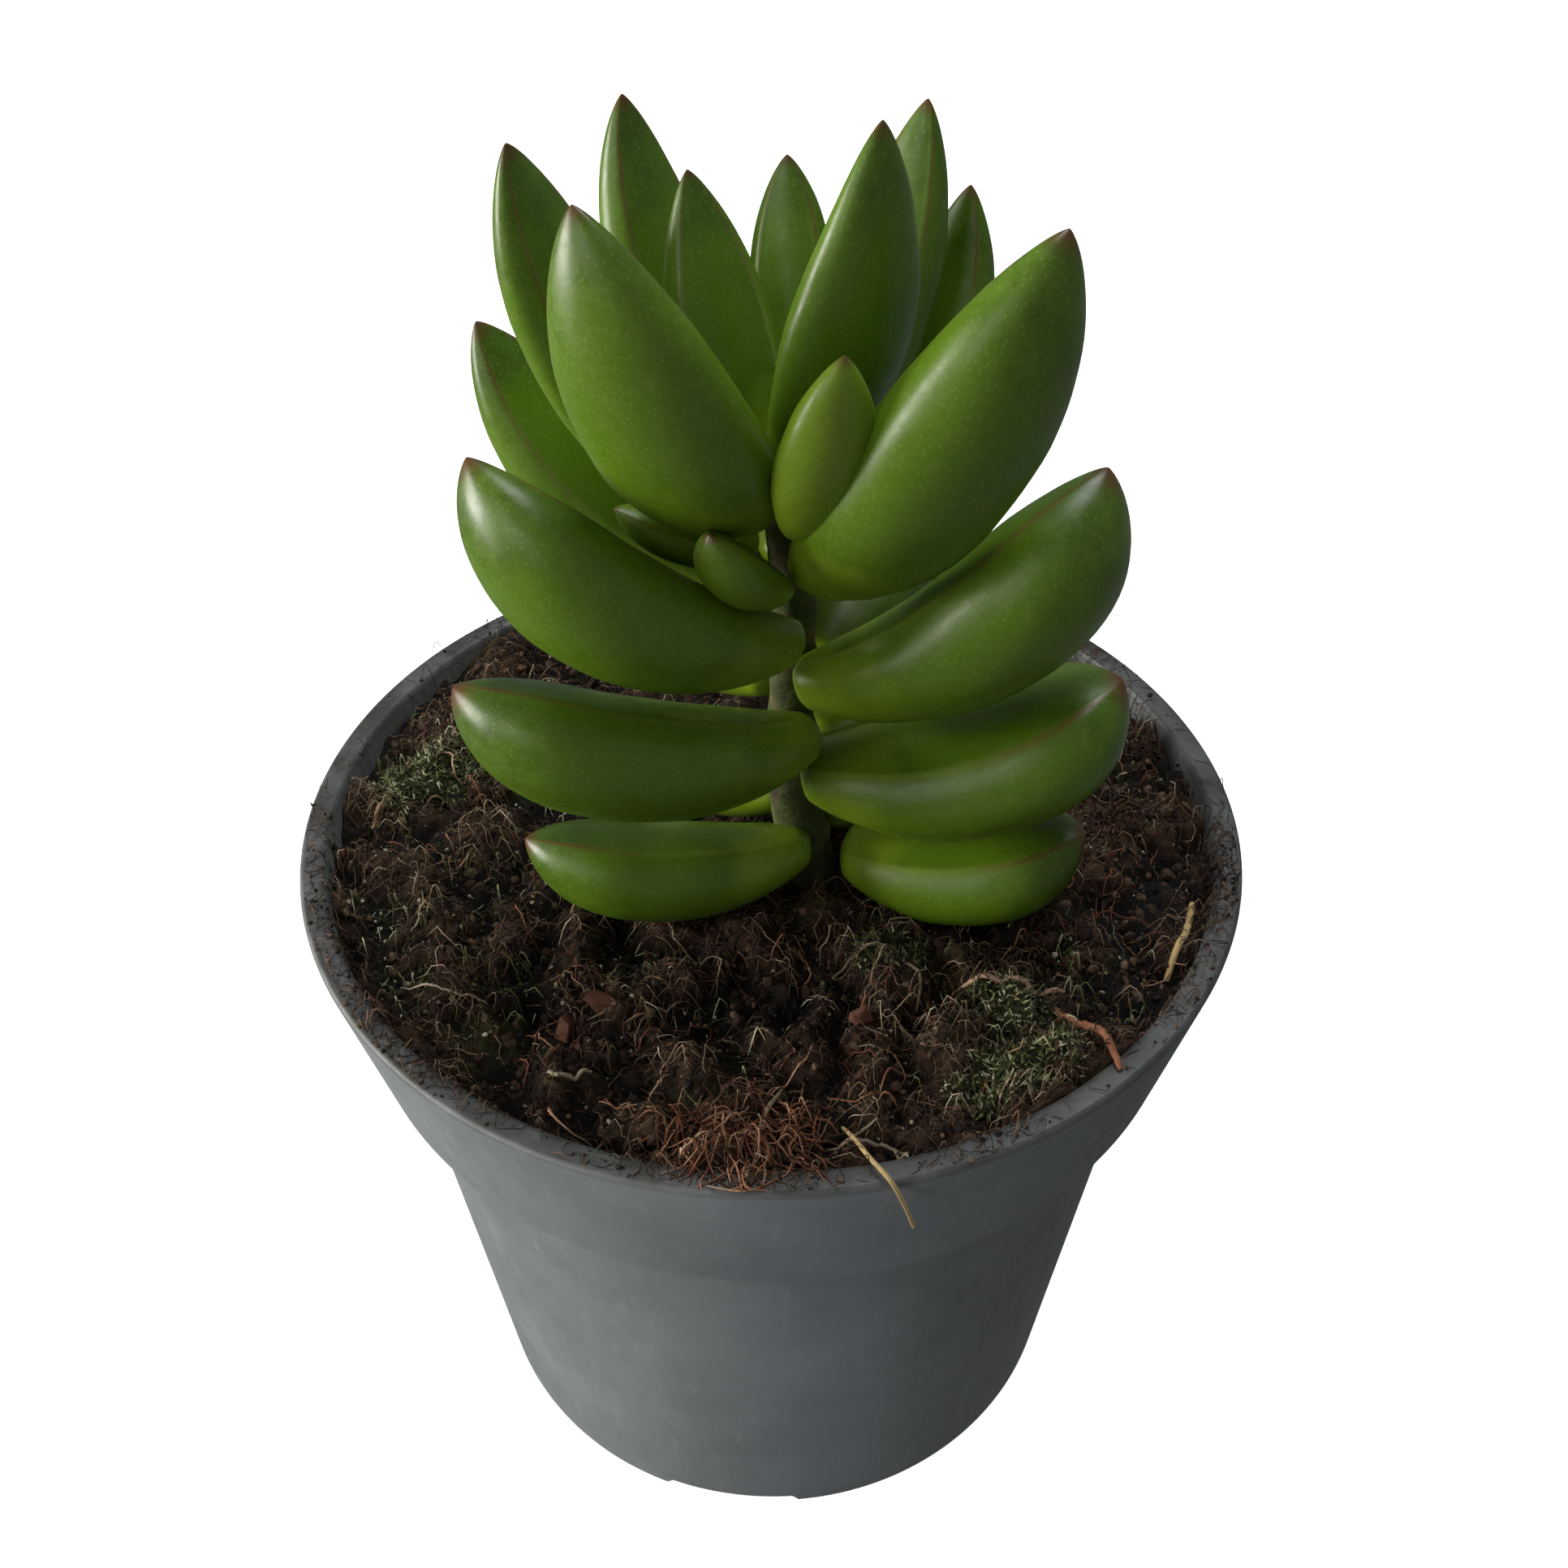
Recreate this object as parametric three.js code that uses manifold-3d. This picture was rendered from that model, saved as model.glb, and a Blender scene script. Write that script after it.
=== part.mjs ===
// A potted crassula: a plastic nursery pot full of peat, and one bare stem that carries
// thick pointed leaves, in pairs low down and in a crowded rosette at the top. A few chips
// of bark, moss cushions and straws lie on the peat.
// Millimetres, +Z up. The origin is the centre of the pot's base, on the ground.
// The front of the plant, where its stem shows between the leaves, faces -Y.
import * as THREE from "three";
import { mergeVertices } from "three/addons/utils/BufferGeometryUtils.js";
import Module from "manifold-3d";

const wasm = await Module();
wasm.setup();

const UP = new THREE.Vector3(0, 0, 1);
const GAP = 0.3;                       // left between pieces that touch
const TURNS = 48;                      // facets round the pot and the peat

// A nursery pot of ten and a half centimetres: a tapered body under a wider collar.
const POT = {
  height: 84, lipRadius: 52.5, lipWidth: 3, lipChamfer: 0.4,
  collarHeight: 20.5, collarRadius: 48, bodyRadius: 44.9, baseRadius: 38,
  wall: 1.4, footHeight: 2, footWidth: 1.8, floor: 1.6,
};
const NOTCH = { count: 4, first: 81.5, width: 17, slope: 0.8, height: 1.5, depth: 7 };
const DRAIN = { radius: 4, circle: 25, first: 36.5 };

// The peat stands a few millimetres under the lip and is heaped up a little at the stem.
const PEAT = { edgeDepth: 4.6, heap: 1.9, heapReach: 17, ripple: 0.5, rippleReach: 34 };

// The stem's centre line, from inside the peat to the middle of the rosette.
const STEM = {
  points: [
    [5, -8.6, 68], [4.6, -8.5, 80], [2.6, -8.1, 92], [2, -8, 100],
    [2.1, -8, 108], [2.4, -7.8, 117], [1.5, -7.4, 126], [0.5, -6.8, 136],
  ],
  rootRadius: 3.1, topRadius: 1.7, sides: 12, steps: 22,
};

// Every leaf follows one law: a neck at the stem that swells quickly, a widest place and a
// rounded point. Its section is a deep round belly, cut off above by a nearly flat upper
// face between two ridges; heights in it are shares of the leaf's thickness.
const LEAF = {
  sides: 12, rows: 9, neck: 0.3, swell: 0.75, pointRound: 0.78,
  bellyMiddle: -0.1, bellyReach: 0.52, crown: 0.35, ridgeAngle: 40.9,
};

// root: where the leaf springs from the stem; tip: where its point is; bow: how far its
// middle sags below the straight line; roll: its turn about that line, in degrees;
// widest: where along it that is, as a share; blunt: from 1.6, slender, to 3, round;
// pressedOn: the older leaf that it lies against.
const LEAVES = [
  // In front, from the peat upwards: four pairs to the left and the right.
  { name: "leaf_low_left", root: [4, -11.5, 90.5], tip: [-25.4, -15, 93.8], width: 13.6, thick: 10.2,
    bow: 2.4, roll: 22, widest: 0.53, blunt: 2.9 },
  { name: "leaf_low_right", root: [7.5, -9, 87], tip: [32.5, -14, 93.3], width: 16, thick: 10.9,
    bow: 2.2, roll: -2, widest: 0.53, blunt: 2.8 },
  { name: "leaf_second_left", root: [4.4, -12, 106], tip: [-29.3, -20, 117.3], width: 18.6, thick: 12.4,
    bow: 3.4, roll: 30, widest: 0.55, blunt: 3 },
  { name: "leaf_second_right", root: [3, -11.5, 100.6], tip: [34.2, -13, 112.4], width: 18.4, thick: 13,
    bow: 4, roll: -6, widest: 0.59, blunt: 3.1 },
  { name: "leaf_third_left", root: [2.5, -11.5, 117], tip: [-26, -16, 139.1], width: 17.2, thick: 12,
    bow: 4.9, roll: 40, widest: 0.53, blunt: 2.4 },
  { name: "leaf_third_right", root: [2.5, -10.8, 111.5], tip: [30, -13, 136], width: 17.5, thick: 14,
    bow: 4.4, roll: -25, widest: 0.63, blunt: 2.2 },
  { name: "leaf_fourth_left", root: [-2, -12, 130.5], tip: [-15, -18, 162.2], width: 16.1, thick: 9.5,
    bow: 2.8, roll: 44, widest: 0.35, blunt: 2.1 },
  { name: "leaf_fourth_right", root: [4, -11, 123.8], tip: [23, -20, 161], width: 16.2, thick: 11.5,
    bow: 3.4, roll: -45, widest: 0.38, blunt: 2.5 },
  // To the left and the right behind them, long and steep.
  { name: "leaf_side_left", root: [0.1, -6.2, 118.1], tip: [-27.5, 5, 141.4], width: 13.8, thick: 8.8,
    bow: 5.5, roll: -15, widest: 0.53, blunt: 2 },
  { name: "leaf_tall_left", root: [-1.5, -6.6, 122.5], tip: [-21.5, -5, 162], width: 13.2, thick: 7,
    bow: 3.8, roll: -24, widest: 0.58, blunt: 2 },
  { name: "leaf_tall_back_left", root: [0, -1.8, 129], tip: [-13.1, 12, 160], width: 11, thick: 7,
    bow: 3.6, roll: 0, widest: 0.53, blunt: 2 },
  { name: "leaf_tall_right", root: [4.1, -4, 126.5], tip: [14.4, 10, 160.2], width: 9.7, thick: 7.2,
    bow: 2.1, roll: 6, widest: 0.53, blunt: 2 },
  { name: "leaf_side_right", root: [5.4, -5.8, 121.4], tip: [19, 12, 151.5], width: 11.3, thick: 7,
    bow: 4.4, roll: 0, widest: 0.53, blunt: 2 },
  // The inner leaves of the rosette.
  { name: "leaf_inner_left", root: [-0.8, -7, 132.2], tip: [-7, 2, 157], width: 10, thick: 6.2,
    bow: 0.9, roll: -13, widest: 0.43, blunt: 1.8 },
  { name: "leaf_inner_right", root: [2, -8.5, 132], tip: [9, -11.5, 166.2], width: 13, thick: 7,
    bow: 1.7, roll: -32, widest: 0.47, blunt: 1.6 },
  { name: "leaf_inner_back", root: [1.5, -3, 134.6], tip: [1.8, 10.5, 155], width: 7.8, thick: 4.6,
    bow: 2.2, roll: -8, widest: 0.58, blunt: 1.9 },
  // Young leaves in the angles of the older ones.
  { name: "leaf_young_front", root: [2.6, -17, 132], tip: [6, -22, 151.5], width: 8.5, thick: 5.5,
    bow: 0.8, roll: -20, widest: 0.48, blunt: 2, pressedOn: "leaf_fourth_right" },
  { name: "leaf_young_right", root: [5.2, -6.5, 130.5], tip: [10.6, -8, 140], width: 5.5, thick: 4,
    bow: 1, roll: 0, widest: 0.48, blunt: 2 },
  { name: "leaf_bud_front", root: [1.5, -14, 124.2], tip: [-5.2, -20.8, 134.2], width: 6.8, thick: 5.4,
    bow: 0.9, roll: 0, widest: 0.51, blunt: 2.6 },
  { name: "leaf_bud_left", root: [-1.8, -11, 125.4], tip: [-14, -12.6, 131.8], width: 5.4, thick: 4,
    bow: 0.3, roll: -6, widest: 0.51, blunt: 2.2 },
  // Behind, from the peat upwards.
  { name: "leaf_low_back", root: [2, -5, 91.5], tip: [-14, 8, 93], width: 12, thick: 8,
    bow: 2, roll: 0, widest: 0.53, blunt: 2.4 },
  { name: "leaf_low_back_right", root: [5, -5, 89], tip: [21, 12, 93], width: 13, thick: 9.5,
    bow: 2.5, roll: 0, widest: 0.58, blunt: 2.6 },
  { name: "leaf_second_back", root: [1, -5, 107], tip: [-16, 16, 115], width: 14, thick: 9,
    bow: 4, roll: 0, widest: 0.6, blunt: 2.6 },
  { name: "leaf_second_back_right", root: [4, -5, 99.5], tip: [20, 16, 108], width: 15, thick: 10,
    bow: 4, roll: 0, widest: 0.58, blunt: 2.6 },
  { name: "leaf_third_back_left", root: [0.6, -5, 113.6], tip: [-9, 24, 132], width: 14, thick: 9.5,
    bow: 5, roll: 0, widest: 0.58, blunt: 2.5 },
  { name: "leaf_third_back_right", root: [4, -4.5, 109.5], tip: [16, 22, 125], width: 15, thick: 10,
    bow: 5, roll: 0, widest: 0.58, blunt: 2.5 },
  { name: "leaf_fourth_back", root: [1.5, -4.9, 121], tip: [3.1, 20, 142], width: 11.8, thick: 8,
    bow: 4.5, roll: 0, widest: 0.53, blunt: 2.3 },
];

// What lies on the peat. at: its middle; size: its length, breadth and height; detail: 0 for
// a chip with flat faces, 1 for a rounded cushion.
const SCRAPS = [
  { name: "bark_chip_left", at: [-21, -31], size: [3.6, 2.6, 1.9], turn: 65, detail: 0 },
  { name: "bark_chip_middle", at: [-17.5, -27.4], size: [4.2, 2.6, 1.5], turn: -20, detail: 0 },
  { name: "bark_chip_right", at: [8.9, -30], size: [3.8, 3, 2], turn: 100, detail: 0 },
  { name: "moss_left", at: [-39.5, 8], size: [12, 8, 2], turn: 35, detail: 1 },
  { name: "moss_middle", at: [12, -21], size: [8, 5.5, 1.6], turn: -10, detail: 1 },
  { name: "moss_front", at: [24.5, -28], size: [7.5, 6, 2], turn: 15, detail: 1 },
  { name: "moss_front_right", at: [24, -37], size: [12, 6.5, 2], turn: 30, detail: 1 },
];
// The first straw hangs over the pot's lip, the second lies along the wall.
const STRAW = { radius: 0.4, sides: 8, steps: 12 };
const STRAWS = [
  { name: "straw_front",
    points: [[6.6, -43, 80.2], [7.5, -45.9, 83.2], [8.8, -48.9, 84.9], [10.6, -51.4, 84.5],
      [12, -52, 81.5], [13, -52, 78.3]] },
  { name: "straw_right", points: [[45.5, -13.2, 80.1], [43.9, -17.9, 80.2], [41.3, -22.8, 80.1]] },
];

// Geometry helpers.

/** The geometry with only its positions left and its shared corners merged. */
function bare(geometry) {
  geometry.deleteAttribute("normal");
  geometry.deleteAttribute("uv");
  return mergeVertices(geometry, 1e-4);
}

function toSolid(geometry) {
  const merged = bare(geometry);
  return new wasm.Manifold(new wasm.Mesh({
    numProp: 3,
    vertProperties: new Float32Array(merged.attributes.position.array),
    triVerts: new Uint32Array(merged.index.array),
  }));
}

function toGeometry(solid) {
  const mesh = solid.getMesh();
  const geometry = new THREE.BufferGeometry();
  geometry.setAttribute("position", new THREE.BufferAttribute(mesh.vertProperties, 3));
  geometry.setIndex(new THREE.BufferAttribute(mesh.triVerts, 1));
  return geometry;
}

/** A solid of revolution about +Z from [radius, height] pairs that run anticlockwise. */
function lathe(outline) {
  const points = outline.map(([radius, height]) => new THREE.Vector2(radius, height));
  return new THREE.LatheGeometry(points, TURNS).rotateX(Math.PI / 2);
}

/** Moves every vertex of the geometry to where place(vertex) puts it. */
function reshape(geometry, place) {
  const shaped = bare(geometry);
  const spots = shaped.attributes.position;
  const vertex = new THREE.Vector3();
  for (let i = 0; i < spots.count; i += 1) {
    const moved = place(vertex.fromBufferAttribute(spots, i));
    spots.setXYZ(i, moved.x, moved.y, moved.z);
  }
  return shaped;
}

function curveThrough(points) {
  return new THREE.CatmullRomCurve3(points.map((point) => new THREE.Vector3(...point)));
}

/** A round rod about a curve; radiusAt gives its radius from 0 at the start to 1 at the end. */
function rod(curve, radiusAt, sides, steps) {
  const straight = new THREE.CylinderGeometry(1, 1, 1, sides, steps);
  return reshape(straight, (vertex) => {
    const t = vertex.y + 0.5;
    const tangent = curve.getTangent(t);
    const side = new THREE.Vector3(1, 0, 0).projectOnPlane(tangent).normalize();
    const front = new THREE.Vector3().crossVectors(side, tangent);
    return curve.getPoint(t)
      .addScaledVector(side, vertex.x * radiusAt(t))
      .addScaledVector(front, vertex.z * radiusAt(t));
  });
}

// Pot.

function wallInset(radius) {
  return radius - POT.wall;
}

const COLLAR_BASE = POT.height - POT.collarHeight;
const FLOOR_TOP = POT.footHeight + POT.floor;
const FLOOR_RADIUS = THREE.MathUtils.lerp(POT.baseRadius, POT.bodyRadius, FLOOR_TOP / COLLAR_BASE);
// The inside of the wall, from the floor up to the lip.
const INNER_WALL = [
  [wallInset(FLOOR_RADIUS), FLOOR_TOP],
  [wallInset(POT.bodyRadius), COLLAR_BASE - POT.wall],
  [wallInset(POT.collarRadius), COLLAR_BASE + POT.wall],
  [POT.lipRadius - POT.lipWidth, POT.height],
];

function notchSolid(azimuth) {
  const half = NOTCH.width / 2;
  const arch = new THREE.Shape([
    new THREE.Vector2(-half - NOTCH.slope, -1), new THREE.Vector2(half + NOTCH.slope, -1),
    new THREE.Vector2(half - NOTCH.slope, NOTCH.height),
    new THREE.Vector2(-half + NOTCH.slope, NOTCH.height),
  ]);
  const bar = new THREE.ExtrudeGeometry(arch, { depth: NOTCH.depth, bevelEnabled: false });
  bar.rotateX(Math.PI / 2);
  bar.translate(0, POT.baseRadius + NOTCH.depth / 3, 0);
  bar.rotateZ(THREE.MathUtils.degToRad(azimuth - 90));
  return toSolid(bar);
}

function drainSolid(azimuth) {
  const hole = new THREE.CylinderGeometry(DRAIN.radius, DRAIN.radius, 4 * FLOOR_TOP, 16);
  hole.rotateX(Math.PI / 2);
  hole.translate(DRAIN.circle, 0, 0);
  hole.rotateZ(THREE.MathUtils.degToRad(azimuth));
  return toSolid(hole);
}

function pot() {
  const { height, lipRadius, lipWidth, lipChamfer } = POT;
  const outline = [
    [0, POT.footHeight], [POT.baseRadius - POT.footWidth, POT.footHeight],
    [POT.baseRadius - POT.footWidth, 0], [POT.baseRadius, 0],
    [POT.bodyRadius, COLLAR_BASE], [POT.collarRadius, COLLAR_BASE],
    [lipRadius, height - lipChamfer], [lipRadius - lipChamfer, height],
    [lipRadius - lipWidth + lipChamfer, height], [lipRadius - lipWidth, height - lipChamfer],
    ...INNER_WALL.slice(0, -1).reverse(),
    [0, FLOOR_TOP],
  ];
  let solid = toSolid(lathe(outline));
  for (let i = 0; i < NOTCH.count; i += 1) {
    const turn = (360 / NOTCH.count) * i;
    solid = solid.subtract(notchSolid(NOTCH.first + turn));
    solid = solid.subtract(drainSolid(DRAIN.first + turn));
  }
  return toGeometry(solid);
}

// Stem.

/** The stem, fatter than its real radius by spare. */
function stem(spare = 0) {
  const radiusAt = (t) => THREE.MathUtils.lerp(STEM.rootRadius, STEM.topRadius, t) + spare;
  return rod(curveThrough(STEM.points), radiusAt, STEM.sides, STEM.steps);
}

// Peat.

const PEAT_EDGE = POT.height - PEAT.edgeDepth;

/** How far the peat's surface stands above its edge at a place. */
function peatRelief(x, y) {
  const foot = STEM.points[1];
  const fromStem = Math.hypot(x - foot[0], y - foot[1]);
  const heap = PEAT.heap * Math.exp(-((fromStem / PEAT.heapReach) ** 2));
  const calm = Math.max(0, 1 - (Math.hypot(x, y) / PEAT.rippleReach) ** 2);
  return heap + PEAT.ripple * calm * Math.sin(x / 5 + 1) * Math.cos(y / 6);
}

/** The peat, without the room for the stem. */
function peatBody() {
  const spare = INNER_WALL.map(([radius, height]) => [radius - GAP, height]);
  const collar = spare[2];
  const share = (PEAT_EDGE - collar[1]) / (POT.height - collar[1]);
  const edge = THREE.MathUtils.lerp(collar[0], spare[3][0], share);
  const rings = [44, 38, 31, 24, 17, 10, 4];
  const body = lathe([
    [0, FLOOR_TOP + GAP], [spare[0][0], FLOOR_TOP + GAP], spare[1], collar, [edge, PEAT_EDGE],
    ...rings.map((radius) => [radius, PEAT_EDGE]),
    [0, PEAT_EDGE],
  ]);
  const heaped = reshape(body, (vertex) => {
    const onTop = vertex.z > PEAT_EDGE - 0.01 && Math.hypot(vertex.x, vertex.y) < edge - 0.1;
    return onTop ? vertex.setZ(PEAT_EDGE + peatRelief(vertex.x, vertex.y)) : vertex;
  });
  return toSolid(heaped);
}

/** A lump that lies on the peat, flat where it would sink into it. */
function scrap({ at: [x, y], size: [length, breadth, height], turn, detail }, raisedPeat) {
  const lump = new THREE.IcosahedronGeometry(1, detail);
  lump.scale(length / 2, breadth / 2, height);
  lump.rotateZ(THREE.MathUtils.degToRad(turn));
  lump.translate(x, y, PEAT_EDGE + peatRelief(x, y));
  return toGeometry(toSolid(lump).subtract(raisedPeat));
}

// Leaves.

/** Half of the leaf's breadth at s, from 0 at the neck to 1 at the point, as a share. */
function leafBreadth(s, widest, blunt) {
  const rise = Math.sin((Math.PI / 2) * Math.min(s / widest, 1)) ** LEAF.swell;
  const past = Math.max(0, (s - widest) / (1 - widest));
  return (LEAF.neck + (1 - LEAF.neck) * rise) * (1 - past ** blunt) ** LEAF.pointRound;
}

/** The height of the leaf's section where its breadth is the cosine of the angle. */
function leafSection(angle) {
  const ridge = THREE.MathUtils.degToRad(LEAF.ridgeAngle);
  const belly = (turn) => LEAF.bellyMiddle + LEAF.bellyReach * Math.sin(turn);
  if (Math.sin(angle) <= Math.sin(ridge) + 1e-3) return belly(angle);
  const inward = Math.cos(angle) / Math.cos(ridge);
  return LEAF.crown + (belly(ridge) - LEAF.crown) * inward ** 2;
}

/** A leaf, wider and thicker than its real size by spare all round. */
function leafSolid({ root, tip, width, thick, bow, roll, widest, blunt }, spare = 0) {
  const base = new THREE.Vector3(...root);
  const end = new THREE.Vector3(...tip);
  const chord = end.clone().sub(base);
  const side = new THREE.Vector3().crossVectors(chord, UP).normalize()
    .applyAxisAngle(chord.clone().normalize(), THREE.MathUtils.degToRad(roll));
  const below = new THREE.Vector3().crossVectors(chord, side).normalize();
  const elbow = base.clone().addScaledVector(chord, 0.5).addScaledVector(below, 2 * bow);
  const spine = new THREE.QuadraticBezierCurve3(base, elbow, end);
  const ball = new THREE.SphereGeometry(1, LEAF.sides, LEAF.rows);
  return toSolid(reshape(ball, (vertex) => {
    const s = (1 + vertex.y) / 2;
    const round = Math.hypot(vertex.x, vertex.z);
    if (round < 1e-6) return spine.getPoint(s);
    const breadth = leafBreadth(s, widest, blunt);
    const across = (vertex.x / round) * (breadth * (width / 2) + spare);
    const height = leafSection(Math.atan2(vertex.z, vertex.x)) * (breadth * thick + 2 * spare);
    const upward = new THREE.Vector3().crossVectors(side, spine.getTangent(s));
    return spine.getPoint(s).addScaledVector(side, across).addScaledVector(upward, height);
  }));
}

// Assembly.

const FINISH = {
  pot: { color: "#5f6463", roughness: 0.55, metalness: 0 },
  peat: { color: "#2a1d15", roughness: 1, metalness: 0 },
  stem: { color: "#4a3524", roughness: 0.8, metalness: 0 },
  leaf: { color: "#4c7020", roughness: 0.38, metalness: 0 },
  bark: { color: "#7a4a2c", roughness: 0.8, metalness: 0 },
  moss: { color: "#5d6a2a", roughness: 0.95, metalness: 0 },
  straw: { color: "#a58a56", roughness: 0.7, metalness: 0 },
};

function piece(name, geometry, finish) {
  const mesh = new THREE.Mesh(geometry, new THREE.MeshStandardMaterial(finish));
  mesh.name = name;
  return mesh;
}

const stemSpace = toSolid(stem(GAP));
const leafRoom = new Map(LEAVES.map((shape) => [shape.name, leafSolid(shape, GAP)]));
const plant = new THREE.Group();
plant.add(piece("stem", stem(), FINISH.stem));
for (const shape of LEAVES) {
  let blade = leafSolid(shape).subtract(stemSpace);
  if (shape.pressedOn) blade = blade.subtract(leafRoom.get(shape.pressedOn));
  plant.add(piece(shape.name, toGeometry(blade), FINISH.leaf));
}

const ground = new THREE.Group();
const peatSolid = peatBody();
const raisedPeat = peatSolid.translate(0, 0, GAP);
ground.add(piece("peat", toGeometry(peatSolid.subtract(stemSpace)), FINISH.peat));
for (const shape of SCRAPS) {
  const finish = shape.detail > 0 ? FINISH.moss : FINISH.bark;
  ground.add(piece(shape.name, scrap(shape, raisedPeat), finish));
}
for (const { name, points } of STRAWS) {
  const straw = rod(curveThrough(points), () => STRAW.radius, STRAW.sides, STRAW.steps);
  ground.add(piece(name, straw, FINISH.straw));
}

const pottedCrassula = new THREE.Group();
pottedCrassula.add(piece("pot", pot(), FINISH.pot));
pottedCrassula.add(ground);
pottedCrassula.add(plant);

export default pottedCrassula;
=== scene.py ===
"""The looks of a potted crassula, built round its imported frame.

A grey nursery pot full of dark fibrous peat carries one stem with thick waxy leaves. Sizes
are in millimetres, in the frame's axes, and become metres where a mesh is made.
"""

import logging
import math
import random
from dataclasses import dataclass, field
from enum import Enum
from typing import Callable, Sequence

import bmesh
import bpy
from mathutils import Euler, Matrix, Vector, noise


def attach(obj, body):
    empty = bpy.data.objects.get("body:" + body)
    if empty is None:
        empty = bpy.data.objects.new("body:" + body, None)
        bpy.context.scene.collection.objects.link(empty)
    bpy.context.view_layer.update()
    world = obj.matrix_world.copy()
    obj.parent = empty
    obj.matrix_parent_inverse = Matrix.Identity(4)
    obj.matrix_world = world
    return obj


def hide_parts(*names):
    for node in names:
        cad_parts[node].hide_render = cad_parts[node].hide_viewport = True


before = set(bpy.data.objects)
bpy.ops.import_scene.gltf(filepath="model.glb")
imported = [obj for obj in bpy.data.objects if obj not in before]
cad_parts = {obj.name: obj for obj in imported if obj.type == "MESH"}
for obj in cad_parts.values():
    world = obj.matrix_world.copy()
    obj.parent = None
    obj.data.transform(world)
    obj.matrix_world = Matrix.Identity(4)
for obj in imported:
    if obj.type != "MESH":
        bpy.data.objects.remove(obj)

MM = 0.001
BODY = "root"
IMAGE_SIDE = 1932.0
SENSOR = 36.0
PER_MM2 = 1 / MM ** 2

log = logging.getLogger("potted_crassula")

Point = tuple[float, float, float]
Colour = tuple[float, float, float, float]
Room = Callable[[float, float], float]


class Slot(Enum):
    """The record's material slots."""

    POT = "pot"
    PEAT = "peat"
    BARK = "bark"
    MOSS = "moss"
    STRAW = "straw"
    STEM = "stem"
    LEAF = "leaf"


def linear(hex_colour: str) -> Colour:
    """Turn an sRGB hex colour into linear RGBA.

    Args:
        hex_colour: Six hex digits after a hash sign.

    Returns:
        The linear red, green, blue and an alpha of one.
    """
    channels = [int(hex_colour[i:i + 2], 16) / 255 for i in (1, 3, 5)]
    red, green, blue = (c / 12.92 if c <= 0.04045 else ((c + 0.055) / 1.055) ** 2.4 for c in channels)
    return red, green, blue, 1.0


def add_node(tree: bpy.types.NodeTree, kind: str, feeds: dict | Sequence = (),
             **settings: object) -> bpy.types.Node:
    """Add one node with its settings, and link or fill its inputs.

    Args:
        tree: The node tree that gets the node.
        kind: The node's type name.
        feeds: What goes into the inputs: by name or number in a dict, or else in the order of
            the inputs that are in use. A node stands for its first output, and None is skipped.
        **settings: Properties of the node.

    Returns:
        The new node.
    """
    node = tree.nodes.new(kind)
    for name, value in settings.items():
        setattr(node, name, value)
    open_inputs = [socket for socket in node.inputs if socket.enabled]
    pairs = feeds.items() if isinstance(feeds, dict) else zip(range(len(feeds)), feeds)
    for key, value in pairs:
        if value is None:
            continue
        if isinstance(key, int):
            socket = open_inputs[key]
        else:
            socket = next(s for s in open_inputs if s.name == key)
        if isinstance(value, bpy.types.Node):
            value = next(s for s in value.outputs if s.enabled)
        if isinstance(value, bpy.types.NodeSocket):
            tree.links.new(value, socket)
        else:
            socket.default_value = value
    return node


def blend_stops(node: bpy.types.Node, stops: Sequence[tuple[float, str]]) -> bpy.types.Node:
    """Set the stops of a colour ramp.

    Args:
        node: The colour ramp node.
        stops: Pairs of a place from 0 to 1 and an sRGB hex colour, in rising order.

    Returns:
        The same node.
    """
    elements = node.color_ramp.elements
    while len(elements) < len(stops):
        elements.new(1.0)
    for element, (place, hex_colour) in zip(elements, stops):
        element.position = place
        element.color = linear(hex_colour)
    return node


def new_material(name: str) -> tuple[bpy.types.Material, bpy.types.NodeTree, bpy.types.Node]:
    """Make a material that holds only a Principled shader and its output.

    Args:
        name: The material's name.

    Returns:
        The material, its tree and the shader node.
    """
    material = bpy.data.materials.new(name)
    material.use_nodes = True
    tree = material.node_tree
    tree.nodes.clear()
    shader = tree.nodes.new("ShaderNodeBsdfPrincipled")
    output = tree.nodes.new("ShaderNodeOutputMaterial")
    tree.links.new(shader.outputs[0], output.inputs[0])
    return material, tree, shader


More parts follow.
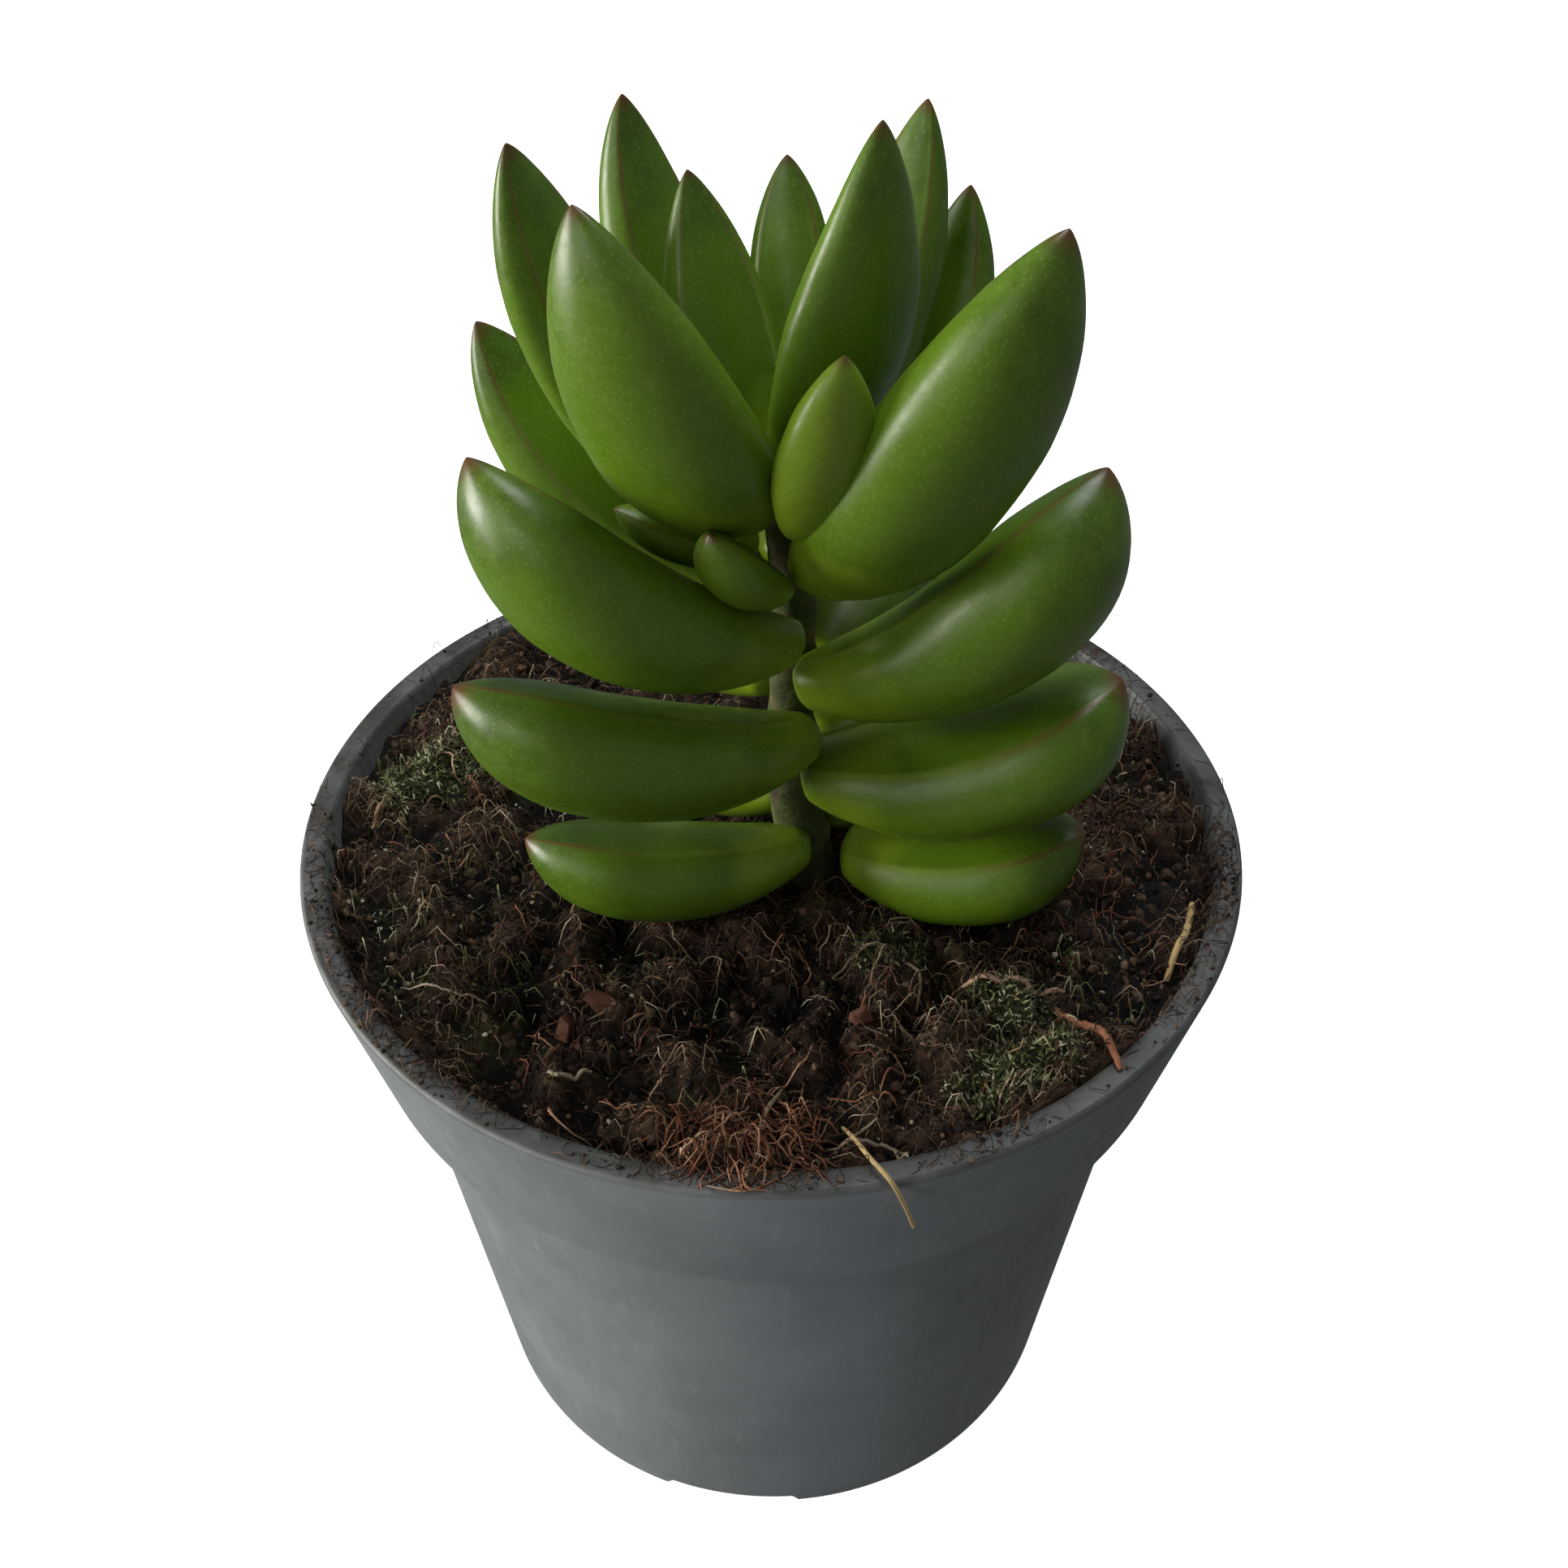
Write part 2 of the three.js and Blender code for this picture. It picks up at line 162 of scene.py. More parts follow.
@dataclass(frozen=True)
class LeafSkin:
    """Fresh succulent leaf: a waxy skin over wet tissue, so light sinks in a little.

    The ridges and the point are stained a reddish brown, the base is yellower, the under side
    has a grey-green bloom of wax, and fine pale pores speckle it all over.
    """

    name: str = "crassula_leaf_skin"
    deep: str = "#3d5a0e"
    body: str = "#567812"
    fresh: str = "#84a020"
    bloom: str = "#728830"
    blush: str = "#5a2c1a"
    pore: str = "#98aa50"
    roughness: float = 0.32
    pore_size: float = 0.5
    pore_show: float = 0.24
    mottle_size: float = 7.0
    cloud_size: float = 1.6
    wax_below: float = 0.26
    wax_above: float = 0.06

    def material(self) -> bpy.types.Material:
        """Build the leaf skin's material.

        Returns:
            The material.
        """
        material, tree, shader = new_material(self.name)
        place = add_node(tree, "ShaderNodeTexCoord").outputs["Object"]
        along, margin, upper, tone = (
            add_node(tree, "ShaderNodeAttribute", attribute_name=label).outputs["Fac"]
            for label in ("along", "margin", "upper", "tone"))
        mottle = add_node(tree, "ShaderNodeTexNoise", {
            "Vector": place, "Scale": 1 / (self.mottle_size * MM), "Detail": 5.0, "Roughness": 0.6})
        # The base is yellow-green and the rest darkens unevenly towards the point.
        drift = add_node(tree, "ShaderNodeMath", (mottle, 0.7, -0.35), operation="MULTIPLY_ADD")
        run = add_node(tree, "ShaderNodeMath", (along, drift), operation="ADD")
        green = blend_stops(add_node(tree, "ShaderNodeValToRGB", (run,)),
                            [(0.0, self.fresh), (0.3, self.body), (0.75, self.body), (1.0, self.deep)])
        young = add_node(tree, "ShaderNodeMix", (tone, green, linear(self.fresh)), data_type="RGBA")
        # Wax lies thicker on the under side, in clouds.
        cloud = add_node(tree, "ShaderNodeTexNoise", {
            "Vector": place, "Scale": 1 / (self.cloud_size * MM), "Detail": 6.0, "Roughness": 0.7})
        under = add_node(tree, "ShaderNodeMapRange", (upper, 0.0, 1.0, self.wax_below, self.wax_above))
        film = add_node(tree, "ShaderNodeMapRange", (cloud, 0.3, 0.75, 0.0, 1.0))
        wax = add_node(tree, "ShaderNodeMath", (under, film), operation="MULTIPLY")
        waxed = add_node(tree, "ShaderNodeMix", (wax, young, linear(self.bloom)), data_type="RGBA")
        # Pores: fine pale dots, half a millimetre apart, drawn a little coarser than they are.
        grain = add_node(tree, "ShaderNodeTexVoronoi",
                         {"Vector": place, "Scale": 1 / (self.pore_size * MM)})
        dot = add_node(tree, "ShaderNodeMapRange", (grain, 0.08, 0.36, 1.0, 0.0))
        dots = add_node(tree, "ShaderNodeMath", (dot, self.pore_show), operation="MULTIPLY")
        speckled = add_node(tree, "ShaderNodeMix", (dots, waxed, linear(self.pore)), data_type="RGBA")
        # The blush runs along the ridges, darkest at the point; nearer the base the ridges are drawn pale,
        # partly their own pale colour and partly a painted highlight.
        edge = add_node(tree, "ShaderNodeMapRange", (margin, 0.015, 0.085, 1.0, 0.0))
        reach = add_node(tree, "ShaderNodeMapRange", (run, 0.45, 1.0, 0.0, 0.8))
        rim = add_node(tree, "ShaderNodeMath", (edge, reach), operation="MULTIPLY")
        worn = add_node(tree, "ShaderNodeMath", (edge, 0.3), operation="MULTIPLY")
        pale_ridge_and_sheen = add_node(tree, "ShaderNodeMix", (worn, speckled, linear(self.pore)), data_type="RGBA")
        cap = add_node(tree, "ShaderNodeMapRange", (along, 0.955, 0.995, 0.0, 0.85))
        stain = add_node(tree, "ShaderNodeMath", (rim, cap), operation="MAXIMUM")
        stained = add_node(tree, "ShaderNodeMix", (stain, pale_ridge_and_sheen, linear(self.blush)), data_type="RGBA")
        dull = add_node(tree, "ShaderNodeMapRange",
                        (cloud, 0.3, 0.7, self.roughness - 0.06, self.roughness + 0.14))
        bump = add_node(tree, "ShaderNodeBump",
                        {"Strength": 0.15, "Distance": 0.08 * MM, "Height": cloud})
        tree.links.new(stained.outputs[2], shader.inputs["Base Color"])
        tree.links.new(dull.outputs[0], shader.inputs["Roughness"])
        tree.links.new(bump.outputs[0], shader.inputs["Normal"])
        shader.inputs["IOR"].default_value = 1.45
        shader.inputs["Subsurface Weight"].default_value = 0.06
        shader.inputs["Subsurface Radius"].default_value = (0.7, 1.0, 0.2)
        shader.inputs["Subsurface Scale"].default_value = 1.0 * MM
        return material


@dataclass(frozen=True)
class StemBark:
    """Young woody stem: thin brown bark with green showing through, matte and slightly ringed."""

    name: str = "crassula_stem_bark"
    bark: str = "#3a2a1c"
    light: str = "#6a5a38"
    green: str = "#44521f"
    patch_size: float = 3.0
    grain_size: float = 0.5

    def material(self) -> bpy.types.Material:
        """Build the stem bark's material.

        Returns:
            The material.
        """
        material, tree, shader = new_material(self.name)
        place = add_node(tree, "ShaderNodeTexCoord").outputs["Object"]
        patch = add_node(tree, "ShaderNodeTexNoise",
                         {"Vector": place, "Scale": 1 / (self.patch_size * MM), "Detail": 6.0})
        bark = blend_stops(add_node(tree, "ShaderNodeValToRGB", (patch,)),
                           [(0.3, self.bark), (0.52, self.green), (0.7, self.light)])
        fine = add_node(tree, "ShaderNodeTexNoise",
                        {"Vector": place, "Scale": 1 / (self.grain_size * MM), "Detail": 4.0})
        bump = add_node(tree, "ShaderNodeBump", {"Strength": 0.5, "Distance": 0.3 * MM, "Height": fine})
        tree.links.new(bark.outputs[0], shader.inputs["Base Color"])
        tree.links.new(bump.outputs[0], shader.inputs["Normal"])
        shader.inputs["Roughness"].default_value = 0.75
        return material


@dataclass(frozen=True)
class PotPlastic:
    """Injection-moulded polypropylene: mid grey, matte, with fine scuffs and dust from handling."""

    name: str = "grey_polypropylene"
    body: str = "#6b6f70"
    pale: str = "#767a7b"
    dark: str = "#606465"
    scuff: str = "#9a9e9d"
    soil: str = "#2b2925"
    roughness: float = 0.5
    cloud_size: float = 26.0
    scuff_size: float = 1.6
    stain_size: float = 7.0
    grit_size: float = 0.45
    pebble_size: float = 0.7

    def material(self, soil_line: float) -> bpy.types.Material:
        """Build the pot's plastic.

        Args:
            soil_line: The height of the lip's top, in metres; the plastic just under it is darkened towards
                soil brown.

        Returns:
            The material.
        """
        material, tree, shader = new_material(self.name)
        place = add_node(tree, "ShaderNodeTexCoord").outputs["Object"]
        cloud = add_node(tree, "ShaderNodeTexNoise", {
            "Vector": place, "Scale": 1 / (self.cloud_size * MM), "Detail": 5.0, "Roughness": 0.65})
        grey = blend_stops(add_node(tree, "ShaderNodeValToRGB", (cloud,)),
                           [(0.32, self.dark), (0.5, self.body), (0.72, self.pale)])
        # Scuffs run down the wall: noise that is stretched along the height.
        tall = add_node(tree, "ShaderNodeMapping", {"Vector": place, "Scale": (1.0, 1.0, 0.12)})
        streak = add_node(tree, "ShaderNodeTexNoise", {
            "Vector": tall, "Scale": 1 / (self.scuff_size * MM), "Detail": 6.0, "Roughness": 0.7})
        rub = add_node(tree, "ShaderNodeMapRange", (streak, 0.6, 0.78, 0.0, 0.3))
        scuffed = add_node(tree, "ShaderNodeMix", (rub, grey, linear(self.scuff)), data_type="RGBA")
        # The top millimetre of the pot is darkened towards soil brown: at least halfway all over, more in
        # patches and in fine specks.
        height = add_node(tree, "ShaderNodeSeparateXYZ", (place,)).outputs[2]
        near = add_node(tree, "ShaderNodeMapRange",
                        (height, soil_line - 1.1 * MM, soil_line - 0.1 * MM, 0.0, 1.0))
        patch = add_node(tree, "ShaderNodeTexNoise", {
            "Vector": place, "Scale": 1 / (self.stain_size * MM), "Detail": 5.0, "Roughness": 0.7})
        stain = add_node(tree, "ShaderNodeMapRange", (patch, 0.36, 0.62, 0.5, 0.95))
        grit = add_node(tree, "ShaderNodeTexNoise", {
            "Vector": place, "Scale": 1 / (self.grit_size * MM), "Detail": 3.0, "Roughness": 0.6})
        specks = add_node(tree, "ShaderNodeMapRange", (grit, 0.56, 0.7, 0.0, 0.5))
        spotted = add_node(tree, "ShaderNodeMath", (stain, specks), operation="MAXIMUM")
        dirt = add_node(tree, "ShaderNodeMath", (spotted, near), operation="MULTIPLY")
        darkened_lip = add_node(tree, "ShaderNodeMix", (dirt, scuffed, linear(self.soil)), data_type="RGBA")
        pebble = add_node(tree, "ShaderNodeTexNoise",
                          {"Vector": place, "Scale": 1 / (self.pebble_size * MM), "Detail": 3.0})
        bump = add_node(tree, "ShaderNodeBump",
                        {"Strength": 0.1, "Distance": 0.1 * MM, "Height": pebble})
        dull = add_node(tree, "ShaderNodeMapRange",
                        (streak, 0.3, 0.7, self.roughness - 0.06, self.roughness + 0.12))
        tree.links.new(darkened_lip.outputs[2], shader.inputs["Base Color"])
        tree.links.new(dull.outputs[0], shader.inputs["Roughness"])
        tree.links.new(bump.outputs[0], shader.inputs["Normal"])
        shader.inputs["IOR"].default_value = 1.49
        return material


@dataclass(frozen=True)
class PeatCrumb:
    """Moist peat: near black in the wettest, brown where crumbs dried; painted shade in hollows, painted
    light on clods.
    """

    name: str = "moist_peat"
    wet_and_shaded: str = "#0b0806"
    damp: str = "#241911"
    dry_and_lit: str = "#4d3a2b"
    moss: str = "#4b5029"
    crumb_size: float = 1.1

    def material(self) -> bpy.types.Material:
        """Build the peat's material.

        Returns:
            The material.
        """
        material, tree, shader = new_material(self.name)
        place = add_node(tree, "ShaderNodeTexCoord").outputs["Object"]
        rise = add_node(tree, "ShaderNodeAttribute", attribute_name="rise").outputs["Fac"]
        mossy = add_node(tree, "ShaderNodeAttribute", attribute_name="mossy").outputs["Fac"]
        crumb = add_node(tree, "ShaderNodeTexNoise", {
            "Vector": place, "Scale": 1 / (self.crumb_size * MM), "Detail": 8.0, "Roughness": 0.7})
        # Painted shade and light: the height darkens the hollows and lightens the clods' tops, over the
        # crumbs' own random tones.
        lift = add_node(tree, "ShaderNodeMath", (rise, 0.45), operation="MULTIPLY")
        mixed = add_node(tree, "ShaderNodeMath", (crumb, lift), operation="ADD")
        brown = blend_stops(add_node(tree, "ShaderNodeValToRGB", (mixed,)),
                            [(0.42, self.wet_and_shaded), (0.62, self.damp), (0.95, self.dry_and_lit)])
        film = add_node(tree, "ShaderNodeMath", (mossy, crumb), operation="MULTIPLY")
        green = add_node(tree, "ShaderNodeMix", (film, brown, linear(self.moss)), data_type="RGBA")
        bump = add_node(tree, "ShaderNodeBump", {"Strength": 0.9, "Distance": 0.6 * MM, "Height": crumb})
        tree.links.new(green.outputs[2], shader.inputs["Base Color"])
        tree.links.new(bump.outputs[0], shader.inputs["Normal"])
        shader.inputs["Roughness"].default_value = 0.92
        shader.inputs["Specular IOR Level"].default_value = 0.25
        return material


@dataclass(frozen=True)
class Litter:
    """What is strewn on the peat, from dark to light; each bit takes one tone of the range."""

    name: str
    stops: tuple[tuple[float, str], ...]
    roughness: float = 0.85
    streak_size: float = 0.4

    def material(self) -> bpy.types.Material:
        """Build the litter's material, with its colour from each bit's own tone.

        Returns:
            The material.
        """
        material, tree, shader = new_material(self.name)
        place = add_node(tree, "ShaderNodeTexCoord").outputs["Object"]
        tone = add_node(tree, "ShaderNodeAttribute", attribute_name="tone").outputs["Fac"]
        grain = add_node(tree, "ShaderNodeTexNoise", {
            "Vector": place, "Scale": 1 / (self.streak_size * MM), "Detail": 4.0, "Roughness": 0.7})
        shift = add_node(tree, "ShaderNodeMath", (grain, 0.3, -0.15), operation="MULTIPLY_ADD")
        mixed = add_node(tree, "ShaderNodeMath", (tone, shift), operation="ADD")
        colour = blend_stops(add_node(tree, "ShaderNodeValToRGB", (mixed,)), self.stops)
        bump = add_node(tree, "ShaderNodeBump", {"Strength": 0.5, "Distance": 0.2 * MM, "Height": grain})
        tree.links.new(colour.outputs[0], shader.inputs["Base Color"])
        tree.links.new(bump.outputs[0], shader.inputs["Normal"])
        shader.inputs["Roughness"].default_value = self.roughness
        shader.inputs["Specular IOR Level"].default_value = 0.3
        return material


# Wet peat fibres are almost black, and a few have dried: that makes the peat look fluffy.
FIBRE = Litter("wet_peat_fibre",
               ((0.0, "#150f0b"), (0.5, "#32231a"), (0.8, "#574030"), (1.0, "#8a7058")))
# Dry fibres are the colour of tea and catch the light, so that the eye sees a loose felt.
TEA_FIBRE = Litter("dry_peat_fibre",
                   ((0.0, "#33241a"), (0.45, "#5f4837"), (0.8, "#8b735c"), (1.0, "#bfae93")))
# Old roots are rust red; a knot of them hangs over the front lip.
RUST_FIBRE = Litter("rust_red_root",
                    ((0.0, "#35190f"), (0.5, "#744630"), (0.8, "#a27054"), (1.0, "#d2b090")))
# Crumbs of decayed peat are near black, so that gaps and shadows run together.
CRUMB = Litter("peat_crumb", ((0.0, "#120e0b"), (0.45, "#2a1e16"), (0.8, "#4a372a"), (1.0, "#735d48")))
# The same crumbs have dried where they lie on the plastic.
LIP_CRUMB = Litter("dry_peat_crumb", ((0.0, "#1e1812"), (0.5, "#3b2e24"), (1.0, "#6b5a48")))
# Broken bits of pale root give the peat its sparse light specks.
PALE_BIT = Litter("pale_root_bit", ((0.0, "#7d725c"), (0.5, "#a79c84"), (1.0, "#d2cdbd")))
# Moss is dull olive below, with a few yellow-green and grey tips.
MOSS = Litter("cushion_moss", ((0.0, "#1a1c0e"), (0.4, "#434824"), (0.75, "#82865a"), (1.0, "#c9caab")))
# Bark chips are a dull red-brown, the warmest spots on the peat.
BARK = Litter("bark_chip", ((0.0, "#2c1a12"), (0.5, "#573424"), (1.0, "#7c5340")), streak_size=0.8)
# Dry straw is the palest thing in the pot.
STRAW = Litter("dry_straw", ((0.0, "#6d5636"), (0.5, "#a58858"), (1.0, "#cbb583")))
# Living roots are a paler brown than the peat.
PALE_ROOT = Litter("pale_root", ((0.0, "#4a3d2e"), (0.5, "#7b6b56"), (1.0, "#b0a288")))


def put(name: str, data: bpy.types.ID) -> bpy.types.Object:
    """Put a mesh, a light or a camera into the scene.

    Args:
        name: The object's name.
        data: What it holds.

    Returns:
        The object.
    """
    holder = bpy.data.objects.new(name, data)
    bpy.context.scene.collection.objects.link(holder)
    return holder


class Rule:
    """A Geometry Nodes tree with named inputs; each run of it makes one plain mesh."""

    def __init__(self, name: str, **kinds: str) -> None:
        """Start the tree.

        Args:
            name: The tree's name.
            **kinds: The kind of socket of each input, such as Float or Vector.
        """
        self.tree = bpy.data.node_groups.new(name, "GeometryNodeTree")
        face = self.tree.interface
        face.new_socket("Geometry", in_out="INPUT", socket_type="NodeSocketGeometry")
        face.new_socket("Geometry", in_out="OUTPUT", socket_type="NodeSocketGeometry")
        self.keys = {}
        for label, kind in {**kinds, "Finish": "Material"}.items():
            socket = face.new_socket(label, in_out="INPUT", socket_type=f"NodeSocket{kind}")
            self.keys[label] = socket.identifier
        self.entry = self.tree.nodes.new("NodeGroupInput")

    def take(self, label: str) -> bpy.types.NodeSocket:
        """Return the socket that brings one named input."""
        return self.entry.outputs[label]

    def add(self, kind: str, feeds: dict | Sequence = (), **settings: object) -> bpy.types.Node:
        """Add a node to the rule's tree, as add_node does."""
        return add_node(self.tree, kind, feeds, **settings)

    def close(self, shape: bpy.types.Node, smooth: bool = True) -> None:
        """End the tree: instances made real, faces shaded and the finish set.

        Args:
            shape: The node whose first output is the finished shape.
            smooth: Whether the faces are shaded smooth.
        """
        real = self.add("GeometryNodeRealizeInstances", (shape,))
        shaded = self.add("GeometryNodeSetShadeSmooth", {"Geometry": real, "Shade Smooth": smooth})
        dressed = self.add("GeometryNodeSetMaterial",
                           {"Geometry": shaded, "Material": self.take("Finish")})
        self.add("NodeGroupOutput", (dressed,))

    def run(self, name: str, mesh: bpy.types.Mesh, **values: object) -> bpy.types.Object:
        """Run the rule once.

        Args:
            name: The name of the new object.
            mesh: What goes into the tree.
            **values: A value for each named input, in metres.

        Returns:
            An object with a plain mesh.
        """
        piece = put(name, mesh)
        modifier = piece.modifiers.new("rule", "NODES")
        modifier.node_group = self.tree
        for label, value in values.items():
            modifier[self.keys[label]] = value
        graph = bpy.context.evaluated_depsgraph_get()
        made = bpy.data.meshes.new_from_object(piece.evaluated_get(graph), preserve_all_data_layers=True,
                                               depsgraph=graph)
        piece.modifiers.clear()
        piece.data = made
        made.name = name
        return piece


def new_mesh(name: str, points: Sequence[Sequence[float]], faces: Sequence[Sequence[int]] = (),
             edges: Sequence[Sequence[int]] = (), **marks: Sequence[float]) -> bpy.types.Mesh:
    """Make a mesh from points in millimetres.

    Args:
        name: The mesh's name.
        points: Its vertices, in millimetres.
        faces: Its faces, as rows of vertex numbers.
        edges: Its loose edges.
        **marks: Named attributes with one number a vertex.

    Returns:
        The mesh, in metres.
    """
    mesh = bpy.data.meshes.new(name)
    mesh.from_pydata([tuple(c * MM for c in point) for point in points], edges, faces)
    for label, numbers in marks.items():
        mesh.attributes.new(label, "FLOAT", "POINT").data.foreach_set("value", list(numbers))
    mesh.update()
    return mesh


def smooth_path(points: Sequence[Point], steps: int) -> list[Vector]:
    """Lay a Catmull-Rom curve through points.

    Args:
        points: The points, in order.
        steps: The number of stretches between two points.

    Returns:
        The curve's points.
    """
    knots = [Vector(p) for p in points]
    knots = [2 * knots[0] - knots[1], *knots, 2 * knots[-1] - knots[-2]]
    path = []
    for before, start, end, after in zip(knots, knots[1:], knots[2:], knots[3:]):
        for i in range(steps):
            t = i / steps
            path.append(0.5 * (2 * start + t * (end - before)
                               + t * t * (2 * before - 5 * start + 4 * end - after)
                               + t ** 3 * (3 * start - before - 3 * end + after)))
    return [*path, knots[-2]]


def disc_grid(cells: int, radius: float) -> list[tuple[float, float]]:
    """Spread a square grid of points over a disc, so that its quads have no pole.

    Args:
        cells: The number of quads along the grid's side.
        radius: The disc's radius.

    Returns:
        The points, row by row.
    """
    steps = [2 * i / cells - 1 for i in range(cells + 1)]
    return [(u * math.sqrt(1 - v * v / 2) * radius, v * math.sqrt(1 - u * u / 2) * radius)
            for v in steps for u in steps]


def grid_faces(cells: int) -> list[tuple[int, int, int, int]]:
    """Return the quads of a square grid of points that are listed row by row."""
    row = cells + 1
    return [(a, a + 1, a + row + 1, a + row) for j in range(cells) for a in range(j * row, j * row + cells)]


def settle(piece: bpy.types.Object, slot: Slot, *nodes: str) -> None:
    """Let a finished piece ride on the plant's one body and stand for its CAD nodes.

    Args:
        piece: The piece.
        slot: The record's material slot; not used.
        *nodes: The CAD nodes that it stands for.
    """
    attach(piece, BODY)
    if nodes:
        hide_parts(*nodes)
    log.info("%s: %d faces", piece.name, len(piece.data.polygons))


@dataclass(frozen=True)
class Leaf:
    """One leaf as it grew, in millimetres and degrees.

    The root is on the stem and the tip is the leaf's point. The bow is how far its middle sags
    under the straight line, and the roll turns it about that line. Widest is a share of its
    length, and a blunt of 1.6 is slender and 3 is round.
    """

    name: str
    root: Point
    tip: Point
    width: float
    thick: float
    bow: float
    roll: float
    widest: float
    blunt: float
    tone: float = 0.0

    def elbow(self) -> tuple[Vector, Vector]:
        """Work out the spine's control point and the direction across the leaf.

        Returns:
            The control point, in millimetres, and the direction.
        """
        root = Vector(self.root)
        chord = Vector(self.tip) - root
        side = chord.cross(Vector((0, 0, 1))).normalized()
        side = Matrix.Rotation(math.radians(self.roll), 3, chord.normalized()) @ side
        below = chord.cross(side).normalized()
        return root + chord / 2 + 2 * self.bow * below, side


LEAVES = (
    Leaf("leaf_low_left", (4, -11.5, 90.5), (-25.4, -15, 93.8), 13.6, 10.2, 2.4, 22, 0.53, 2.9),
    Leaf("leaf_low_right", (7.5, -9, 87), (32.5, -14, 93.3), 16, 10.9, 2.2, -2, 0.53, 2.8),
    Leaf("leaf_second_left", (4.4, -12, 106), (-29.3, -20, 117.3), 18.6, 12.4, 3.4, 30, 0.55, 3),
    Leaf("leaf_second_right", (3, -11.5, 100.6), (34.2, -13, 112.4), 18.4, 13, 4, -6, 0.59, 3.1),
    Leaf("leaf_third_left", (2.5, -11.5, 117), (-26, -16, 139.1), 17.2, 12, 4.9, 40, 0.53, 2.4),
    Leaf("leaf_third_right", (2.5, -10.8, 111.5), (30, -13, 136), 17.5, 14, 4.4, -25, 0.63, 2.2),
    Leaf("leaf_fourth_left", (-2, -12, 130.5), (-15, -18, 162.2), 16.1, 9.5, 2.8, 44, 0.35, 2.1),
    Leaf("leaf_fourth_right", (4, -11, 123.8), (23, -20, 161), 16.2, 11.5, 3.4, -45, 0.38, 2.5),
    Leaf("leaf_side_left", (0.1, -6.2, 118.1), (-27.5, 5, 141.4), 13.8, 8.8, 5.5, -15, 0.53, 2),
    Leaf("leaf_tall_left", (-1.5, -6.6, 122.5), (-21.5, -5, 162), 13.2, 7, 3.8, -24, 0.58, 2),
    Leaf("leaf_tall_back_left", (0, -1.8, 129), (-13.1, 12, 160), 11, 7, 3.6, 0, 0.53, 2),
    Leaf("leaf_tall_right", (4.1, -4, 126.5), (14.4, 10, 160.2), 9.7, 7.2, 2.1, 6, 0.53, 2),
    Leaf("leaf_side_right", (5.4, -5.8, 121.4), (19, 12, 151.5), 11.3, 7, 4.4, 0, 0.53, 2),
    Leaf("leaf_inner_left", (-0.8, -7, 132.2), (-7, 2, 157), 10, 6.2, 0.9, -13, 0.43, 1.8),
    Leaf("leaf_inner_right", (2, -8.5, 132), (9, -11.5, 166.2), 13, 7, 1.7, -32, 0.47, 1.6),
    Leaf("leaf_inner_back", (1.5, -3, 134.6), (1.8, 10.5, 155), 7.8, 4.6, 2.2, -8, 0.58, 1.9),
    Leaf("leaf_young_front", (2.6, -17, 132), (6, -22, 151.5), 8.5, 5.5, 0.8, -20, 0.48, 2, 0.5),
    Leaf("leaf_young_right", (5.2, -6.5, 130.5), (10.6, -8, 140), 5.5, 4, 1, 0, 0.48, 2, 0.5),
    Leaf("leaf_bud_front", (1.5, -14, 124.2), (-5.2, -20.8, 134.2), 6.8, 5.4, 0.9, 0, 0.51, 2.6, 0.2),
    Leaf("leaf_bud_left", (-1.8, -11, 125.4), (-14, -12.6, 131.8), 5.4, 4, 0.3, -6, 0.51, 2.2, 0.2),
    Leaf("leaf_low_back", (2, -5, 91.5), (-14, 8, 93), 12, 8, 2, 0, 0.53, 2.4),
    Leaf("leaf_low_back_right", (5, -5, 89), (21, 12, 93), 13, 9.5, 2.5, 0, 0.58, 2.6),
    Leaf("leaf_second_back", (1, -5, 107), (-16, 16, 115), 14, 9, 4, 0, 0.6, 2.6),
    Leaf("leaf_second_back_right", (4, -5, 99.5), (20, 16, 108), 15, 10, 4, 0, 0.58, 2.6),
    Leaf("leaf_third_back_left", (0.6, -5, 113.6), (-9, 24, 132), 14, 9.5, 5, 0, 0.58, 2.5),
    Leaf("leaf_third_back_right", (4, -4.5, 109.5), (16, 22, 125), 15, 10, 5, 0, 0.58, 2.5),
    Leaf("leaf_fourth_back", (1.5, -4.9, 121), (3.1, 20, 142), 11.8, 8, 4.5, 0, 0.53, 2.3),
)


